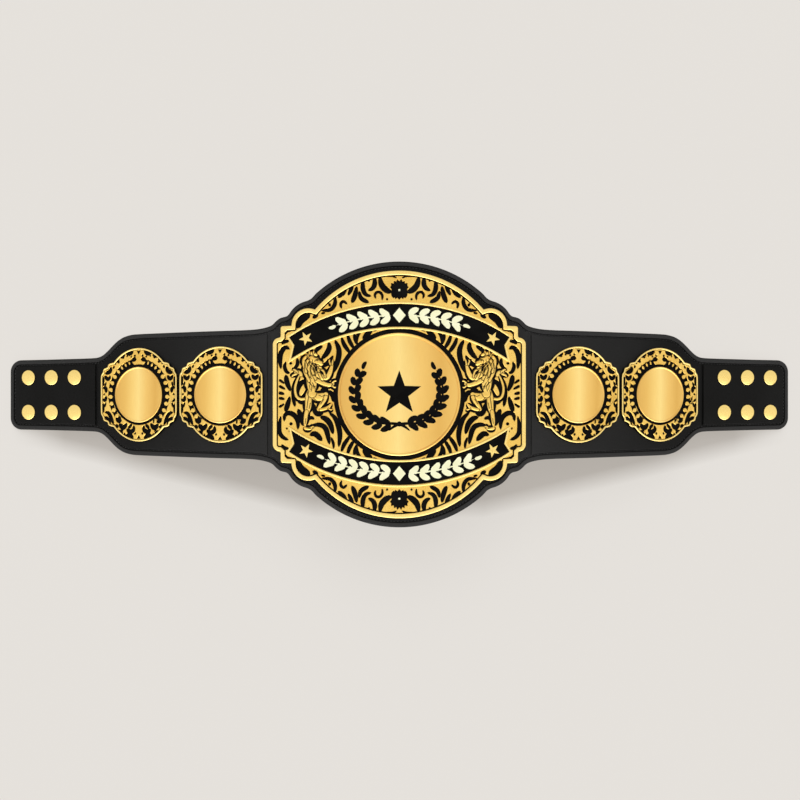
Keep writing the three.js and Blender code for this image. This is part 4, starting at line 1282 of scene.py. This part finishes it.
ringMarks = {
    # angles from the top of the marks round a small disc, in degrees
    "angles": [15.5, 23.5, 32, 41, 51.5, 63.5, 75.5, 87.5, 99.5, 111.5, 123.5, 135],
    "outer": 38.8,
    "inner": 31.8,
    "wide": 10.6,
    "waist": 5.4,
    "open": (46, 141),  # between these angles the black runs on along the disc
    "openTo": 33.2,
}
sideMarks = [
    # (width, belly, points) for the right half of a small plate
    (3.4, 0.4, [(2.8, 37.4), (6.0, 37.4), (9.4, 36.2)]),
    (3.6, 0.5, [(6.6, 46.6), (11.6, 43.6), (16.8, 45.2)]),
    (1.6, 0.5, [(5.6, 42.2), (4.0, 40.2)]),
    (1.5, 0.5, [(8.6, 40.8), (10.4, 39.8)]),
    (3.4, 0.5, [(17.2, 43.4), (23.4, 39.4)]),
    (1.4, 0.5, [(15.0, 42.0), (14.2, 40.0)]),
    (1.4, 0.5, [(18.4, 40.2), (20.4, 38.4)]),
    (2.8, 0.5, [(24.4, 38.4), (28.6, 34.4)]),
    (1.5, 0.5, [(24.0, 35.6), (26.0, 33.6)]),
    (1.4, 0.5, [(29.6, 34.4), (29.0, 32.0)]),
    (3.6, 0.5, [(34.2, 29.6), (36.4, 24.8), (42.2, 22.6)]),
    (1.7, 0.5, [(30.6, 31.0), (32.0, 27.8)]),
    (1.8, 0.5, [(37.0, 30.0), (40.6, 26.6)]),
    (3.2, 0.5, [(42.8, 20.2), (38.7, 16.8), (35.2, 20.2)]),
    (2.6, 0.4, [(44.4, 19.4), (44.5, 14.0), (44.2, 9.2)]),
    (1.7, 0.5, [(40.8, 13.8), (42.4, 8.8)]),
    (3.0, 0.5, [(45.0, 7.4), (41.4, 7.0), (40.6, 2.0)]),
    (3.0, 0.5, [(40.6, -1.2), (42.0, -5.6), (45.0, -4.6)]),
    (1.8, 0.5, [(43.4, 1.4), (42.8, -0.4)]),
    (2.6, 0.5, [(44.2, -9.0), (44.5, -14.0), (44.2, -19.4)]),
    (1.7, 0.5, [(41.0, -7.8), (42.6, -13.4)]),
    (3.2, 0.5, [(42.6, -18.4), (37.4, -20.0), (34.0, -26.1), (31.4, -31.8)]),
    (3.0, 0.5, [(42.4, -23.4), (38.6, -26.2), (35.2, -31.6)]),
    (1.8, 0.5, [(42.0, -27.4), (39.6, -29.4)]),
    (2.4, 0.5, [(28.8, -31.6), (25.6, -35.0)]),
    (1.6, 0.5, [(31.0, -31.6), (29.2, -34.4)]),
    (3.0, 0.5, [(24.6, -37.6), (19.8, -42.2)]),
    (1.6, 0.5, [(18.2, -40.4), (17.6, -44.0)]),
    (1.4, 0.5, [(22.4, -36.2), (19.4, -38.6)]),
    (3.4, 0.5, [(6.6, -46.4), (11.1, -42.8), (17.0, -43.6)]),
    (1.6, 0.5, [(5.4, -42.0), (3.8, -40.0)]),
    (4.0, 0.6, [(14.6, -30.2), (19.4, -34.8), (25.0, -31.0)]),
    (3.8, 0.6, [(6.6, -32.2), (6.6, -37.0), (11.1, -39.2), (15.4, -36.2)]),
    (2.6, 0.5, [(8.4, -31.4), (11.4, -33.8), (13.0, -36.4)]),
    (3.4, 0.5, [(21.6, -25.6), (24.9, -28.0), (28.8, -25.0)]),
]


def hourglass(angle, side):
    turn = np.radians(np.array([-1, -0.62, 0.62, 1]) * ringMarks["wide"] / 2)
    waist = math.radians(ringMarks["waist"] / 2)
    middle = (ringMarks["outer"] + ringMarks["inner"]) / 2
    centre = math.radians(90 - side * angle)
    rows = [
        *[(ringMarks["outer"] - 0.7 * (abs(t) < abs(turn[0]) * 0.9), t) for t in turn],
        (middle + 0.8, waist), (middle - 0.8, waist),
        *[(ringMarks["inner"] + 0.4 * (abs(t) > abs(turn[0]) * 0.9), t * 1.05) for t in turn[::-1]],
        (middle - 0.8, -waist), (middle + 0.8, -waist),
    ]
    return anticlockwise([(r * math.cos(centre + t), r * math.sin(centre + t)) for r, t in rows])


def sideScrollwork():
    low, top = levels["sideRelief"], levels["sideTop"]
    edge = inset(sideEdge, sideShape["rim"] + sideShape["line"])
    apart = np.linalg.norm(edge - np.roll(edge, -1, 0), axis=1) > 0.05
    sheet = slab("small_scrollwork", edge[apart], low, top)
    for side in (-1, 1):
        for row in sideMarks:
            row = (row[0] * sideShape["markSwell"], *row[1:])
            cutStroke(sheet, row, low, top, (side, 1))
        start, end = (90 - side * a for a in ringMarks["open"][::side])
        band = [arcOf(0, 0, r, *ends, 40) for r, ends in (
            (ringMarks["openTo"], (end, start)), (sideShape["discHole"] - 1, (start, end)))]
        band = anticlockwise(np.vstack(band))
        carve(sheet, chamferCutter(band, inset(band, -0.15), low, top, 0.2))
        for angle in ringMarks["angles"]:
            mark = hourglass(angle, side)
            carve(sheet, chamferCutter(mark, inset(mark, -0.2), low, top, 0.2))
    for tip, base in ((42.4, 46.4), (-42.4, -46.6)):
        arrow = anticlockwise([(-2.5, base), (2.5, base), (0, tip)])
        carve(sheet, chamferCutter(arrow, inset(arrow, -0.2), low, top, 0.2))
    hole = sideShape["discHole"]
    carve(sheet, chamferCutter(circleOf(hole, 96), circleOf(hole + 0.25, 96), low, top))
    return sheet


sheet = sideScrollwork()
smallPlate = slab("small_plate", sideEdge, levels["plate"], 6.9, 0.3, 2)
smallRim = ring("small_rim", sideEdge, roundedBar(sideShape["rim"], 7.2, sideShape["rimTop"], 0.55))
smallDisc = lathe(
    "small_disc",
    [(29.3, 7.2), (29.3, 8.8), (29.1, 9.0), (28.8, 9.1), (28.3, 9.1), (28.0, 8.95), (27.8, 8.6), (27.5, 8.6)],
    96,
)
smallPieces = [
    # piece, node, how smooth, cut for the bend, finish, slot
    (smallPlate, "plate", 32, True, enamel, "black_enamel"),
    (smallRim, "rim", 50, False, rimGold, "polished_gold"),
    (sheet, "scrollwork", 25, True, gold, "polished_gold"),
    (smallDisc, "disc", 35, True, sideDiscGold, "brushed_gold"),
]
for endName, end in (("left", -1), ("right", 1)):
    for placeName, centre in sideShape["centres"].items():
        for original, kind, smooth, cut, finish, slot in smallPieces:
            name = endName + "_" + placeName + "_" + kind
            copy = copyOf(original, "copy")
            layOnBelt(copy, end * centre, cut, smooth, finish, (name,))
for original, *rest in smallPieces:
    bpy.data.objects.remove(original)
print("small plates ready")

# Snaps

snapShape = {
    "columns": (365.45, 393.85, 422.25),
    "row": 18.9,
    "profile": [
        (6.0, -1.8), (6.0, -0.6), (5.5, -0.3), (2.6, -0.25), (2.6, 5.05), (7.6, 5.1), (8.0, 5.3),
        (8.0, 5.6), (7.7, 5.85), (7.2, 5.95), (6.7, 6.0), (5.6, 6.4), (4.0, 6.78), (2.0, 6.95),
        (0.5, 7.0),
    ],
}
snap = lathe("snap", snapShape["profile"], 40)
for endName, end in (("left", -1), ("right", 1)):
    for k, along in enumerate(reversed(snapShape["columns"])):
        for rowName, row in (("top", 1), ("bottom", -1)):
            name = endName + "_" + rowName + "_snap_" + str(k + 1)
            copy = copyOf(snap, "copy")
            setCoords(copy, coordsOf(copy) + (0, row * snapShape["row"], 0))
            layOnBelt(copy, end * along, False, 40, rimGold, (name,))
bpy.data.objects.remove(snap)
print("snaps ready")

# Floor, light and camera

studio = {
    "paper": (0.672, 0.642, 0.602),  # the paper glows evenly and takes only a faint shadow
    "paperLit": 0.115,
    "shade": (0.64, 0.62, 0.60),  # painted shadow of the belt's two sides, laid in the paper's glow
    "shadeEdge": (0.152, 0.245),  # where it ends: at -a + b * |x|
    "fill": (0.40, 0.385, 0.37),  # what the sky adds to matt surfaces
    "shine": (1.02, 0.99, 0.95),  # what polished surfaces reflect from overhead
    "shineLean": -0.2,  # how much brighter that is towards the top of the picture
    "strip": (-0.5, -0.72, 3.2),  # a low lamp at the bottom: where it starts, is full, how bright
    "sunPower": 2.2,
    "sunSoftness": 44,
    "sunTilt": 30,  # degrees from overhead, towards the top of the picture
    "camera": (0.0007, -0.0056, 1.2295),
    "lens": 50,
}
deselect()
bpy.ops.mesh.primitive_grid_add(x_subdivisions=4, y_subdivisions=4, size=8)
floor = bpy.context.object
floor.name = "floor"
paper = Finish("paperFloor")
spot = paper.place()
x, y = (paper.add("ShaderNodeSeparateXYZ", inputs={0: spot}, output=axis) for axis in "XY")
far = paper.add("ShaderNodeMath", {"operation": "ABSOLUTE"}, {0: x})
edge = paper.add(
    "ShaderNodeMath", {"operation": "MAXIMUM"},
    {0: far * studio["shadeEdge"][1] - studio["shadeEdge"][0], 1: -0.129},
)
# painted shadow: the paper's glow is darker below the belt's two sides
shade = paper.spread(y - edge, -0.007, 0.014) * paper.spread(far, 0.43, 0.37) * paper.spread(y, 0.05, -0.03)
tone = paper.noise(spot, 3, 2)
even = paper.blend(tone, studio["paper"], tuple(0.99 * c for c in studio["paper"]))
paper.set(
    color=(studio["paperLit"],) * 3,
    roughness=0.9,
    specular=0.05,
    glow=paper.blend(shade, even, tuple(a * b for a, b in zip(studio["paper"], studio["shade"]))),
    glowStrength=1.0,
)
floor.data.materials.append(paper.material)

world = bpy.context.scene.world or bpy.data.worlds.new("studio")
bpy.context.scene.world = world
world.use_nodes = True
sky = Finish("sky", world.node_tree)
direction = sky.add("ShaderNodeTexCoord", output="Generated")
towards = sky.add("ShaderNodeSeparateXYZ", inputs={0: direction}, output="Y")
shine = sky.blend(
    sky.spread(towards, -1, 1),
    tuple(c * (1 - studio["shineLean"]) for c in studio["shine"]),
    tuple(c * (1 + studio["shineLean"]) for c in studio["shine"]),
)
start, full, power = studio["strip"]
lamp = sky.spread(towards, start, full, 0, power)
shine = sky.blend(1.0, shine, sky.add("ShaderNodeCombineColor", inputs={0: lamp, 1: lamp, 2: lamp}), "ADD")
glossy = sky.add("ShaderNodeLightPath", output="Is Glossy Ray")
seen = sky.add("ShaderNodeLightPath", output="Is Camera Ray")
background = world.node_tree.nodes["Background"]
backdrop = sky.blend(seen, studio["fill"], studio["paper"])
sky.plug(background.inputs["Color"], sky.blend(glossy, backdrop, shine))

bpy.ops.object.light_add(type="SUN", rotation=(math.radians(-studio["sunTilt"]), 0, 0))
sun = bpy.context.object
sun.data.energy = studio["sunPower"]
sun.data.angle = math.radians(studio["sunSoftness"])
sun.visible_glossy = False

bpy.ops.object.camera_add(location=studio["camera"], rotation=(0, 0, 0))
camera = bpy.context.object
camera.data.lens = studio["lens"]
camera.data.sensor_width = 36
bpy.context.scene.camera = camera
bpy.context.scene.view_settings.view_transform = "Standard"
print("studio ready")
